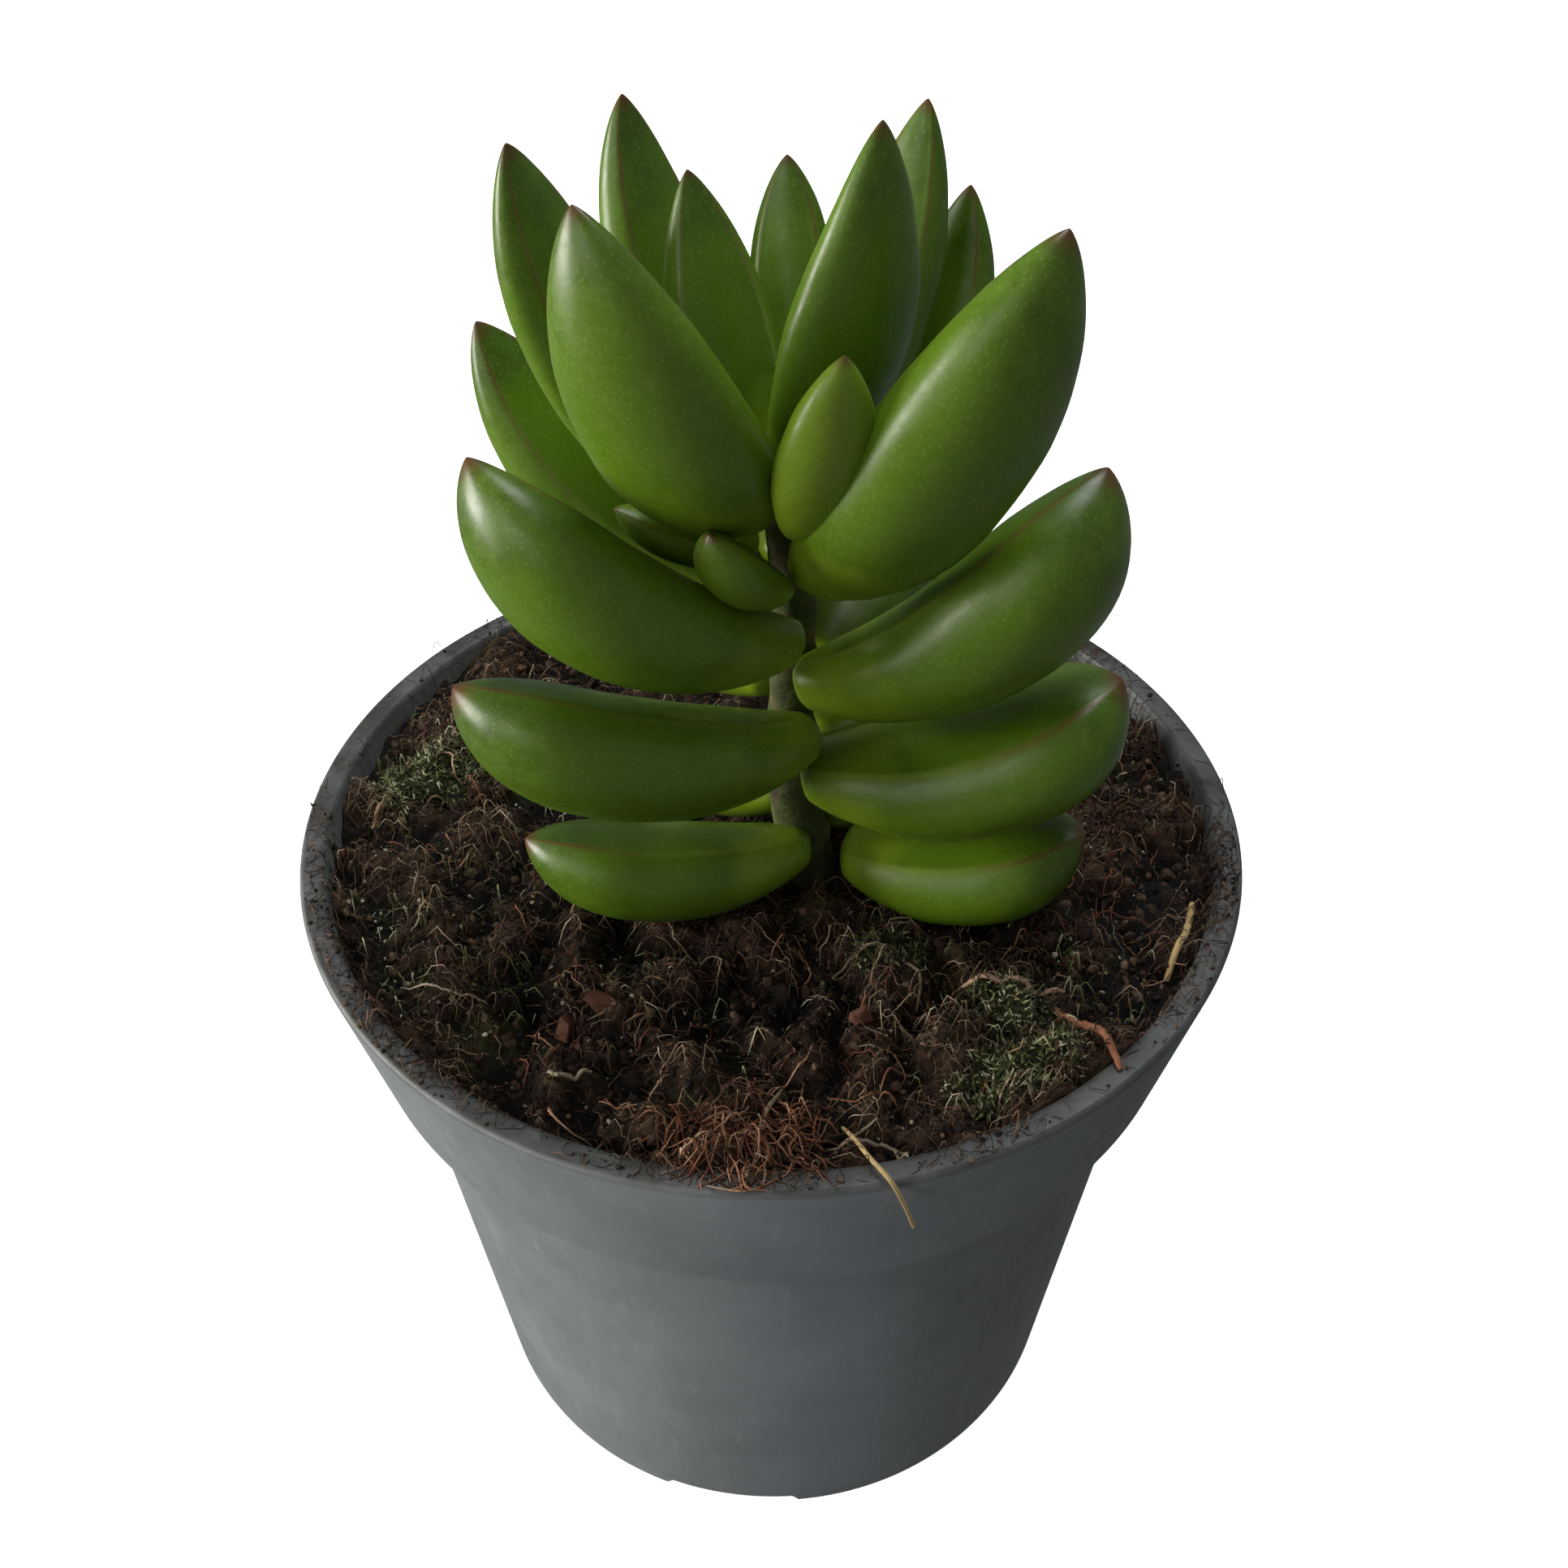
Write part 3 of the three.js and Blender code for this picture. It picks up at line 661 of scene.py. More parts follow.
@dataclass
class Foliage:
    """All the leaves. One law shapes them: a neck, a swelling, a widest place and a point."""

    neck: float = 0.3
    swell: float = 0.75
    base_round: float = 0.035
    point_round: float = 0.78
    belly_middle: float = -0.1
    belly_reach: float = 0.52
    crown: float = 0.35
    ridge_step: int = 5
    ridge_rise: float = 0.14
    ridge_width: float = 0.12
    rows: int = 53
    sides: int = 45
    dent_size: float = 7.0
    dent_depth: float = 0.45
    skin: LeafSkin = field(default_factory=LeafSkin)

    def law(self) -> Rule:
        """Write the leaf's law as a tree: a sheet of quads is wrapped into a closed blade.

        Returns:
            The rule.
        """
        rule = Rule("crassula_leaf_law", Root="Vector", Elbow="Vector", Tip="Vector", Side="Vector",
                    Width="Float", Thickness="Float", Widest="Float", Blunt="Float", Tone="Float")
        add, take = rule.add, rule.take
        sheet = add("GeometryNodeMeshGrid", (1.0, 1.0, self.rows, self.sides))
        spot = add("ShaderNodeSeparateXYZ", (add("GeometryNodeInputPosition"),))
        swing = add("ShaderNodeMath", (spot.outputs[0], math.pi, math.pi / 2), operation="MULTIPLY_ADD")
        swung = add("ShaderNodeMath", (swing,), operation="COSINE")
        along = add("ShaderNodeMath", (swung, -0.5, 0.5), operation="MULTIPLY_ADD")
        turn = add("ShaderNodeMath", (spot.outputs[1], math.tau), operation="MULTIPLY")
        across = add("ShaderNodeMath", (turn,), operation="COSINE")
        over = add("ShaderNodeMath", (turn,), operation="SINE")
        # Half the breadth at each place along the leaf, as a share of its greatest.
        reach = add("ShaderNodeMath", (along, take("Widest")), operation="DIVIDE", use_clamp=True)
        quarter = add("ShaderNodeMath", (reach, math.pi / 2), operation="MULTIPLY")
        arc = add("ShaderNodeMath", (quarter,), operation="SINE")
        rise = add("ShaderNodeMath", (arc, self.swell), operation="POWER")
        body = add("ShaderNodeMath", (rise, 1 - self.neck, self.neck), operation="MULTIPLY_ADD")
        past = add("ShaderNodeMath", (along, take("Widest")), operation="SUBTRACT")
        left = add("ShaderNodeMath", (1.0, take("Widest")), operation="SUBTRACT")
        gone = add("ShaderNodeMath", (past, left), operation="DIVIDE", use_clamp=True)
        fall = add("ShaderNodeMath", (gone, take("Blunt")), operation="POWER")
        closing = add("ShaderNodeMath", (1.0, fall), operation="SUBTRACT")
        kept = add("ShaderNodeMath", (closing, self.point_round), operation="POWER")
        drawn = add("ShaderNodeMath", (body, kept), operation="MULTIPLY")
        start = add("ShaderNodeMath", (along, self.base_round), operation="DIVIDE", use_clamp=True)
        before = add("ShaderNodeMath", (1.0, start), operation="SUBTRACT")
        missing = add("ShaderNodeMath", (before, 2.0), operation="POWER")
        inside = add("ShaderNodeMath", (1.0, missing), operation="SUBTRACT")
        dome = add("ShaderNodeMath", (inside,), operation="SQRT")
        breadth = add("ShaderNodeMath", (drawn, dome), operation="MULTIPLY")
        # The spine bends from the root over the elbow to the tip.
        first = add("ShaderNodeMix", (along, take("Root"), take("Elbow")), data_type="VECTOR")
        second = add("ShaderNodeMix", (along, take("Elbow"), take("Tip")), data_type="VECTOR")
        spine = add("ShaderNodeMix", (along, first, second), data_type="VECTOR")
        course = add("ShaderNodeVectorMath", (second, first), operation="SUBTRACT")
        ahead = add("ShaderNodeVectorMath", (course,), operation="NORMALIZE")
        upward = add("ShaderNodeVectorMath", (take("Side"), ahead), operation="CROSS_PRODUCT")
        # The section is a deep round belly, cut flat above by the upper face between two ridges.
        half = add("ShaderNodeMath", (take("Width"), 0.5), operation="MULTIPLY")
        wide = add("ShaderNodeMath", (breadth, half), operation="MULTIPLY")
        aside = add("ShaderNodeMath", (across, wide), operation="MULTIPLY")
        ridge = math.tau * self.ridge_step / (self.sides - 1)
        ridge_height = self.belly_middle + self.belly_reach * math.sin(ridge)
        belly = add("ShaderNodeMath", (over, self.belly_reach, self.belly_middle),
                    operation="MULTIPLY_ADD")
        inward = add("ShaderNodeMath", (across, math.cos(ridge)), operation="DIVIDE")
        squared = add("ShaderNodeMath", (inward, inward), operation="MULTIPLY")
        roof = add("ShaderNodeMath", (squared, ridge_height - self.crown, self.crown),
                   operation="MULTIPLY_ADD")
        is_upper = add("ShaderNodeMath", (over, math.sin(ridge) + 0.001), operation="GREATER_THAN")
        outline = add("ShaderNodeMix", (is_upper, belly, roof), data_type="FLOAT")
        deep = add("ShaderNodeMath", (breadth, take("Thickness")), operation="MULTIPLY")
        from_ridge = add("ShaderNodeMath", (over, math.sin(ridge)), operation="SUBTRACT")
        apart = add("ShaderNodeMath", (from_ridge,), operation="ABSOLUTE")
        bead = add("ShaderNodeMapRange", (apart, 0.0, self.ridge_width, self.ridge_rise * MM, 0.0))
        beaded = add("ShaderNodeMath", (bead, breadth), operation="MULTIPLY")
        lift = add("ShaderNodeMath", (outline, deep, beaded), operation="MULTIPLY_ADD")
        beside = add("ShaderNodeVectorMath", (take("Side"), aside, spine), operation="MULTIPLY_ADD")
        placed = add("ShaderNodeVectorMath", (upward, lift, beside), operation="MULTIPLY_ADD")
        shape = sheet
        marks = {"along": along, "margin": apart, "upper": is_upper, "tone": take("Tone")}
        for label, value in marks.items():
            shape = add("GeometryNodeStoreNamedAttribute",
                        {"Geometry": shape, "Name": label, "Value": value})
        blade = add("GeometryNodeSetPosition", {"Geometry": shape, "Position": placed})
        closed = add("GeometryNodeMergeByDistance", {"Geometry": blade, "Distance": 0.002 * MM})
        # Soft dents, as in any thick fresh leaf; they fade out at the point and the neck.
        dents = add("ShaderNodeTexNoise", {"Vector": add("GeometryNodeInputPosition"),
                                           "Scale": 1 / (self.dent_size * MM), "Detail": 1.0})
        sunk = add("ShaderNodeMath", (dents, self.dent_depth * MM, -self.dent_depth * MM / 2),
                   operation="MULTIPLY_ADD")
        share = add("GeometryNodeInputNamedAttribute", ("along",))
        left_over = add("ShaderNodeMath", (1.0, share), operation="SUBTRACT")
        middle = add("ShaderNodeMath", (share, left_over), operation="MULTIPLY")
        fade = add("ShaderNodeMath", (middle, 4.0), operation="MULTIPLY")
        soft = add("ShaderNodeMath", (sunk, fade), operation="MULTIPLY")
        push = add("ShaderNodeVectorMath", {0: add("GeometryNodeInputNormal"), 1: soft},
                   operation="MULTIPLY")
        dented = add("GeometryNodeSetPosition", {"Geometry": closed, "Offset": push})
        rule.close(dented)
        return rule

    def build(self) -> None:
        """Build every leaf as a piece of its own and dress it."""
        law = self.law()
        skin = self.skin.material()
        for leaf in LEAVES:
            elbow, side = leaf.elbow()
            piece = law.run(leaf.name + ".blade", bpy.data.meshes.new(leaf.name),
                            Root=Vector(leaf.root) * MM, Elbow=elbow * MM, Tip=Vector(leaf.tip) * MM,
                            Side=side, Width=leaf.width * MM, Thickness=leaf.thick * MM,
                            Widest=leaf.widest, Blunt=leaf.blunt, Tone=leaf.tone, Finish=skin)
            settle(piece, Slot.LEAF, leaf.name)


@dataclass
class Stem:
    """The stem from the peat to the rosette: one tube, with a ring where each pair of leaves sits."""

    course: tuple[Point, ...] = (
        (5, -8.6, 68), (4.6, -8.5, 80), (2.6, -8.1, 92), (2, -8, 100), (2.1, -8, 108),
        (2.4, -7.8, 117), (1.5, -7.4, 126), (0.5, -6.8, 136),
    )
    foot_radius: float = 3.1
    top_radius: float = 1.7
    ring_heights: tuple[float, ...] = (84.5, 88.5, 96, 103, 112, 121)
    ring_rise: float = 0.35
    ring_width: float = 0.7
    knob_rise: float = 0.22
    sides: int = 28
    steps: int = 12
    bark: StemBark = field(default_factory=StemBark)

    def build(self) -> None:
        """Sweep the tube along its course and dress it."""
        path = smooth_path(self.course, self.steps)
        points, faces = [], []
        side = Vector()
        for row, centre in enumerate(path):
            ahead = (path[min(row + 1, len(path) - 1)] - path[max(row - 1, 0)]).normalized()
            level = side - side.dot(ahead) * ahead
            side = level.normalized() if row else ahead.orthogonal().normalized()
            radius = self.foot_radius + (self.top_radius - self.foot_radius) * row / (len(path) - 1)
            for height in self.ring_heights:
                radius += self.ring_rise * math.exp(-((centre.z - height) / self.ring_width) ** 2)
            for i in range(self.sides):
                spoke = Matrix.Rotation(math.tau * i / self.sides, 3, ahead) @ side
                knob = self.knob_rise * noise.noise(centre * 0.35 + spoke * 1.5)
                points.append(centre + spoke * (radius + knob))
        for row in range(len(path) - 1):
            for i in range(self.sides):
                a, b = row * self.sides + i, row * self.sides + (i + 1) % self.sides
                faces.append((a, b, b + self.sides, a + self.sides))
        last = (len(path) - 1) * self.sides
        faces.append(tuple(reversed(range(self.sides))))
        faces.append(tuple(range(last, last + self.sides)))
        mesh = new_mesh("stem.tube", points, faces)
        mesh.shade_smooth()
        mesh.materials.append(self.bark.material())
        settle(put("stem.tube", mesh), Slot.STEM, "stem")


def rounded(outline: Sequence[tuple[float, float, float]], steps: int = 5) -> list[tuple[float, float]]:
    """Round the corners of an outline.

    Args:
        outline: Rows of radius, height and how far back from the corner its rounding starts.
        steps: The number of stretches in a rounding.

    Returns:
        The outline's points.
    """
    points = []
    for index, (x, z, back) in enumerate(outline):
        corner = Vector((x, z))
        if back == 0:
            points.append((x, z))
            continue
        before = Vector(outline[index - 1][:2]) - corner
        after = Vector(outline[index + 1][:2]) - corner
        start, end = corner + before.normalized() * back, corner + after.normalized() * back
        for i in range(steps + 1):
            t = i / steps
            spot = (1 - t) ** 2 * start + 2 * t * (1 - t) * corner + t * t * end
            points.append((spot.x, spot.y))
    return points


@dataclass
class Pot:
    """The nursery pot: a tapered body, a wider collar, a rounded lip, and a foot with notches."""

    height: float = 84.0
    lip_radius: float = 52.5
    lip_width: float = 3.0
    collar_height: float = 20.5
    collar_radius: float = 48.0
    body_radius: float = 44.9
    base_radius: float = 38.0
    wall: float = 1.4
    foot_height: float = 2.0
    foot_width: float = 1.8
    floor: float = 1.6
    notch_count: int = 4
    notch_first: float = 81.5
    notch_width: float = 17.0
    notch_slope: float = 0.8
    notch_height: float = 1.5
    notch_depth: float = 7.0
    drain_radius: float = 4.0
    drain_circle: float = 25.0
    drain_first: float = 36.5
    drain_sides: int = 32
    segments: int = 240
    plastic: PotPlastic = field(default_factory=PotPlastic)

    def inner_radius(self, height: float) -> float:
        """Return the inside radius at a height in the collar.

        Args:
            height: The height over the pot's base, in millimetres.

        Returns:
            The radius, in millimetres.
        """
        low = self.height - self.collar_height + self.wall
        share = (height - low) / (self.height - low)
        inside = self.collar_radius - self.wall
        return inside + (self.lip_radius - self.lip_width - inside) * share

    def outline(self) -> list[tuple[float, float]]:
        """Draw the section, from the middle of the floor's under side round to its upper side.

        Returns:
            The section's points, in millimetres.
        """
        collar_base = self.height - self.collar_height
        floor_top = self.foot_height + self.floor
        floor_radius = self.base_radius + (self.body_radius - self.base_radius) * floor_top / collar_base
        foot_inside = self.base_radius - self.foot_width
        return rounded([
            (0.001, self.foot_height, 0), (foot_inside, self.foot_height, 0.3), (foot_inside, 0, 0.3),
            (self.base_radius, 0, 0.4), (self.body_radius, collar_base, 0.35),
            (self.collar_radius, collar_base, 0.7), (self.lip_radius, self.height - 0.1, 0.9),
            (self.lip_radius - 1.0, self.height, 0.4),
            (self.lip_radius - self.lip_width, self.height, 0.8),
            (self.collar_radius - self.wall, collar_base + self.wall, 0.5),
            (self.body_radius - self.wall, collar_base - self.wall, 0.5),
            (floor_radius - self.wall, floor_top, 1.0), (0.001, floor_top, 0),
        ])

    def cutters(self) -> list[bpy.types.Object]:
        """Make the solids that cut the foot's notches and the floor's drain holes.

        Returns:
            The solids, one object each.
        """
        made = []
        half, slope = self.notch_width / 2, self.notch_slope
        arch = [(-half - slope, -1), (half + slope, -1), (half - slope, self.notch_height),
                (-half + slope, self.notch_height)]
        near = self.base_radius - self.notch_depth * 2 / 3
        quarter = math.tau / self.notch_count
        n = self.drain_sides
        below, above = Vector((0, 0, 3)), Vector((0, 0, 12))
        for i in range(self.notch_count):
            turn = Matrix.Rotation(math.radians(self.notch_first - 90) + quarter * i, 3, "Z")
            corners = [turn @ Vector((x, near + step, z))
                       for step in (0, self.notch_depth) for x, z in arch]
            faces = [(0, 1, 2, 3), (7, 6, 5, 4), (0, 4, 5, 1), (1, 5, 6, 2), (2, 6, 7, 3), (3, 7, 4, 0)]
            made.append(put("cutter", new_mesh("cutter", corners, faces)))
            spin = math.radians(self.drain_first) + quarter * i
            centre = Vector((math.cos(spin), math.sin(spin), 0)) * self.drain_circle
            ring = [centre + Vector((math.cos(a), math.sin(a), 0)) * self.drain_radius
                    for a in (math.tau * k / n for k in range(n))]
            tube = [*[p - below for p in ring], *[p + above for p in ring]]
            walls = [(k, (k + 1) % n, n + (k + 1) % n, n + k) for k in range(n)]
            walls += [tuple(reversed(range(n))), tuple(range(n, 2 * n))]
            made.append(put("cutter", new_mesh("cutter", tube, walls)))
        return made

    def build(self) -> None:
        """Turn the section round the axis, cut the notches and the holes, and dress the pot."""
        outline = self.outline()
        rows = len(outline)
        points = [(radius * math.cos(a), radius * math.sin(a), height)
                  for a in (math.tau * k / self.segments for k in range(self.segments))
                  for radius, height in outline]
        faces = []
        for k in range(self.segments):
            here, there = k * rows, (k + 1) % self.segments * rows
            faces += [(here + i, there + i, there + i + 1, here + i + 1) for i in range(rows - 1)]
        mesh = new_mesh("pot.moulding", points, faces)
        work = bmesh.new()
        work.from_mesh(mesh)
        bmesh.ops.remove_doubles(work, verts=work.verts, dist=0.01 * MM)
        bmesh.ops.recalc_face_normals(work, faces=work.faces)
        work.to_mesh(mesh)
        work.free()
        piece = put("pot.moulding", mesh)
        cutters = self.cutters()
        for cutter in cutters:
            cut = piece.modifiers.new("cut", "BOOLEAN")
            cut.operation, cut.solver, cut.object = "DIFFERENCE", "EXACT", cutter
        graph = bpy.context.evaluated_depsgraph_get()
        piece.data = bpy.data.meshes.new_from_object(piece.evaluated_get(graph), depsgraph=graph)
        piece.modifiers.clear()
        for cutter in cutters:
            bpy.data.objects.remove(cutter)
        piece.data.name = "pot.moulding"
        piece.data.shade_smooth()
        piece.data.set_sharp_from_angle(angle=math.radians(35))
        piece.data.materials.clear()
        piece.data.materials.append(self.plastic.material(self.height * MM))
        settle(piece, Slot.POT, "pot")


@dataclass(frozen=True)
class Mound:
    """A swelling or a hollow of the peat, in millimetres."""

    x: float
    y: float
    reach: float
    rise: float


@dataclass
class Peat:
    """The peat's whole body. Its top is lumpy and crumbly and lies a little under the lip."""

    wall: Pot
    level: float = 81.5
    mounds: tuple[Mound, ...] = (
        Mound(4.6, -8.5, 15, 1.4), Mound(-3, -45.5, 4.5, 1.9), Mound(-40, 8, 6, 0.8),
        Mound(-38, -30, 8, 1.3), Mound(24, -38, 8, 0.9), Mound(30, -22, 6, 0.6),
        Mound(10, -44, 7, 0.5), Mound(41, -20, 8, -1.4), Mound(40, 22, 12, -1.2),
        Mound(20, -11.5, 8, -1.5), Mound(-22, -18, 9, -0.6), Mound(0, -26, 8, -0.5),
    )
    lumps: tuple[tuple[float, float], ...] = ((14.0, 1.1), (2.1, 0.45), (0.95, 0.4))
    clods: tuple[tuple[float, float], ...] = ((8.5, 4.2), (3.8, 2.4), (1.7, 0.9))
    rings: tuple[tuple[float, float], ...] = ((46.3, 64.9), (43.2, 62.1), (36.7, 3.9))
    moss_patch: float = 9.0
    cells: int = 200
    crumbs: PeatCrumb = field(default_factory=PeatCrumb)

    def height(self, x: float, y: float) -> float:
        """Return the height of the peat's surface at a place, in millimetres.

        Args:
            x: The place's first coordinate, in millimetres.
            y: Its second coordinate, in millimetres.

        Returns:
            The height over the pot's base.
        """
        total = self.level
        for mound in self.mounds:
            total += mound.rise * math.exp(-((x - mound.x) ** 2 + (y - mound.y) ** 2) / mound.reach ** 2)
        for size, rise in self.lumps:
            total += rise * noise.noise(Vector((x / size, y / size, size)))
        # Clods are round on top, with sharp clefts between them.
        for size, rise in self.clods:
            total += rise * (min(0.55, abs(noise.noise(Vector((x / size, y / size, size))))) - 0.2)
        return total

    def build(self) -> None:
        """Build the peat as one closed body and dress it."""
        n = self.cells
        round_trip = 4 * n
        points, rise, mossy = [], [], []
        for x, y in disc_grid(n, self.wall.inner_radius(self.level) - 0.05):
            z = self.height(x, y)
            points.append((x, y, z))
            # The rise is half the height over the level; the peat's material paints shade into the hollows
            # and light onto the clods from it.
            rise.append(0.5 * (z - self.level))
            damp = noise.noise(Vector((x / self.moss_patch, y / self.moss_patch, 3)))
            mossy.append(max(0.0, damp - 0.25) * 1.5)
        faces = grid_faces(n)
        rim = [*range(n + 1), *[j * (n + 1) + n for j in range(1, n + 1)],
               *[n * (n + 1) + i for i in range(n - 1, -1, -1)],
               *[j * (n + 1) for j in range(n - 1, 0, -1)]]
        for radius, height in self.rings:
            start = len(points)
            for k in rim:
                flat = Vector(points[k][:2]).normalized() * radius
                points.append((flat.x, flat.y, height))
            ring = list(range(start, start + round_trip))
            faces += [(rim[k], ring[k], ring[(k + 1) % round_trip], rim[(k + 1) % round_trip])
                      for k in range(round_trip)]
            rim = ring
        points.append((0, 0, self.rings[-1][1]))
        middle = len(points) - 1
        faces += [(rim[k], middle, rim[(k + 1) % round_trip]) for k in range(round_trip)]
        blank = [0.0] * (len(points) - len(rise))
        mesh = new_mesh("peat.body", points, faces, rise=rise + blank, mossy=mossy + blank)
        work = bmesh.new()
        work.from_mesh(mesh)
        bmesh.ops.recalc_face_normals(work, faces=work.faces)
        work.to_mesh(mesh)
        work.free()
        mesh.shade_smooth()
        mesh.materials.append(self.crumbs.material())
        settle(put("peat.body", mesh), Slot.PEAT, "peat")


def crumb_rule() -> Rule:
    """Write the tree that strews angular crumbs where the room attribute allows them.

    Returns:
        The rule.
    """
    rule = Rule("strewn_crumbs", Density="Float", Least="Float", Most="Float", Seed="Int")
    add, take = rule.add, rule.take
    room = add("GeometryNodeInputNamedAttribute", ("room",))
    thick = add("ShaderNodeMath", (take("Density"), room), operation="MULTIPLY")
    spots = add("GeometryNodeDistributePointsOnFaces",
                {"Mesh": take("Geometry"), "Density": thick, "Seed": take("Seed")})
    grain = add("GeometryNodeMeshIcoSphere", (0.5, 1))
    turn = add("FunctionNodeRandomValue", {"Min": (0, 0, 0), "Max": (math.tau,) * 3, "Seed": 1},
               data_type="FLOAT_VECTOR")
    chance = add("FunctionNodeRandomValue", {"Min": 0.0, "Max": 1.0, "Seed": 2}, data_type="FLOAT")
    rare = add("ShaderNodeMath", (chance, 3.0), operation="POWER")
    span = add("ShaderNodeMath", (take("Most"), take("Least")), operation="SUBTRACT")
    size = add("ShaderNodeMath", (rare, span, take("Least")), operation="MULTIPLY_ADD")
    uneven = add("FunctionNodeRandomValue", {"Min": (0.5, 0.5, 0.4), "Max": (1.5, 1.2, 1.0), "Seed": 3},
                 data_type="FLOAT_VECTOR")
    scale = add("ShaderNodeVectorMath", (uneven, size), operation="MULTIPLY")
    grains = add("GeometryNodeInstanceOnPoints",
                 {"Points": spots, "Instance": grain, "Rotation": turn, "Scale": scale})
    tone = add("FunctionNodeRandomValue", {"Min": 0.0, "Max": 1.0, "Seed": 4}, data_type="FLOAT")
    marked = add("GeometryNodeStoreNamedAttribute", {"Geometry": grains, "Name": "tone", "Value": tone},
                 domain="INSTANCE")
    rule.close(marked, smooth=False)
    return rule


def fibre_rule() -> Rule:
    """Write the tree that lays curled fibres over the ground, each as a three-sided tube.

    Returns:
        The rule.
    """
    rule = Rule("strewn_fibres", Density="Float", Length="Float", Thickness="Float", Curl="Float",
                Coil="Float", Arch="Float", Reach="Float", Beads="Int", Seed="Int")
    add, take = rule.add, rule.take
    room = add("GeometryNodeInputNamedAttribute", ("room",))
    thick = add("ShaderNodeMath", (take("Density"), room), operation="MULTIPLY")
    spots = add("GeometryNodeDistributePointsOnFaces",
                {"Mesh": take("Geometry"), "Density": thick, "Seed": take("Seed")})
    line = add("GeometryNodeCurvePrimitiveLine", {"Start": (-0.5, 0, 0), "End": (0.5, 0, 0)})
    beads = add("GeometryNodeResampleCurve", {"Curve": line, "Count": take("Beads")})
    turn = add("FunctionNodeRandomValue", {"Min": (0, -0.3, 0), "Max": (0, 0.3, math.tau), "Seed": 1},
               data_type="FLOAT_VECTOR")
    longer = add("FunctionNodeRandomValue", {"Min": 0.35, "Max": 1.3, "Seed": 2}, data_type="FLOAT")
    length = add("ShaderNodeMath", (take("Length"), longer), operation="MULTIPLY")
    shape = add("GeometryNodeInstanceOnPoints",
                {"Points": spots, "Instance": beads, "Rotation": turn, "Scale": length})
    for label, seed in (("tone", 3), ("bend", 4)):
        chance = add("FunctionNodeRandomValue", {"Min": 0.0, "Max": 1.0, "Seed": seed},
                     data_type="FLOAT")
        shape = add("GeometryNodeStoreNamedAttribute",
                    {"Geometry": shape, "Name": label, "Value": chance}, domain="INSTANCE")
    strands = add("GeometryNodeRealizeInstances", (shape,))
    here = add("GeometryNodeInputPosition")
    fine = add("ShaderNodeMath", (1.0, take("Curl")), operation="DIVIDE")
    drift = add("ShaderNodeTexNoise", {"Vector": here, "Scale": fine, "Detail": 1.0}).outputs["Color"]
    centred = add("ShaderNodeVectorMath", (drift, (0.5, 0.5, 0.5)), operation="SUBTRACT")
    swept = add("ShaderNodeVectorMath", (centred, take("Coil"), here), operation="MULTIPLY_ADD")
    curled = add("GeometryNodeSetPosition", {"Geometry": strands, "Position": swept})
    # No strand goes through the pot's wall.
    spot = add("ShaderNodeSeparateXYZ", (add("GeometryNodeInputPosition"),))
    flat = add("ShaderNodeCombineXYZ", (spot.outputs[0], spot.outputs[1], 0.0))
    far = add("ShaderNodeVectorMath", (flat,), operation="LENGTH")
    ratio = add("ShaderNodeMath", (take("Reach"), far.outputs["Value"]), operation="DIVIDE")
    held = add("ShaderNodeMath", (ratio, 1.0), operation="MINIMUM")
    kept = add("ShaderNodeVectorMath", (flat, held), operation="MULTIPLY")
    above = add("ShaderNodeVectorMath", (kept, (0, 0, 0.2)), operation="ADD")
    landing = add("GeometryNodeRaycast", {"Target Geometry": take("Geometry"), "Source Position": above,
                                          "Ray Direction": (0, 0, -1), "Ray Length": 1.0})
    way = add("GeometryNodeSplineParameter").outputs["Factor"]
    half_turn = add("ShaderNodeMath", (way, math.pi), operation="MULTIPLY")
    hump = add("ShaderNodeMath", (half_turn,), operation="SINE")
    bend = add("GeometryNodeInputNamedAttribute", ("bend",))
    springy = add("ShaderNodeMath", (bend, 4.0), operation="POWER")
    rise = add("ShaderNodeMath", (hump, springy), operation="MULTIPLY")
    lift = add("ShaderNodeMath", (rise, take("Arch")), operation="MULTIPLY")
    up = add("ShaderNodeCombineXYZ", (0.0, 0.0, lift))
    resting = add("ShaderNodeVectorMath", (landing.outputs["Hit Position"], up), operation="ADD")
    draped = add("GeometryNodeSetPosition", {"Geometry": curled, "Position": resting})
    taper = add("ShaderNodeMath", (hump, 0.55, 0.45), operation="MULTIPLY_ADD")
    stout = add("ShaderNodeMath", (bend, 0.8, 0.6), operation="MULTIPLY_ADD")
    radius = add("ShaderNodeMath", (taper, take("Thickness")), operation="MULTIPLY")
    gauge = add("ShaderNodeMath", (radius, stout), operation="MULTIPLY")
    ring = add("GeometryNodeCurvePrimitiveCircle", (3, 1.0))
    tube = add("GeometryNodeCurveToMesh",
               {"Curve": draped, "Profile Curve": ring, "Scale": gauge, "Fill Caps": True})
    rule.close(tube)
    return rule


def strand_rule() -> Rule:
    """Write the tree that turns loose edges into round strands; gauge is the radius at each point.

    Returns:
        The rule.
    """
    rule = Rule("laid_strands", Sides="Int")
    add, take = rule.add, rule.take
    curve = add("GeometryNodeMeshToCurve", {"Mesh": take("Geometry")})
    gauge = add("GeometryNodeInputNamedAttribute", ("gauge",))
    ring = add("GeometryNodeCurvePrimitiveCircle", {"Resolution": take("Sides"), "Radius": 1.0})
    tube = add("GeometryNodeCurveToMesh",
               {"Curve": curve, "Profile Curve": ring, "Scale": gauge, "Fill Caps": True})
    rule.close(tube)
    return rule


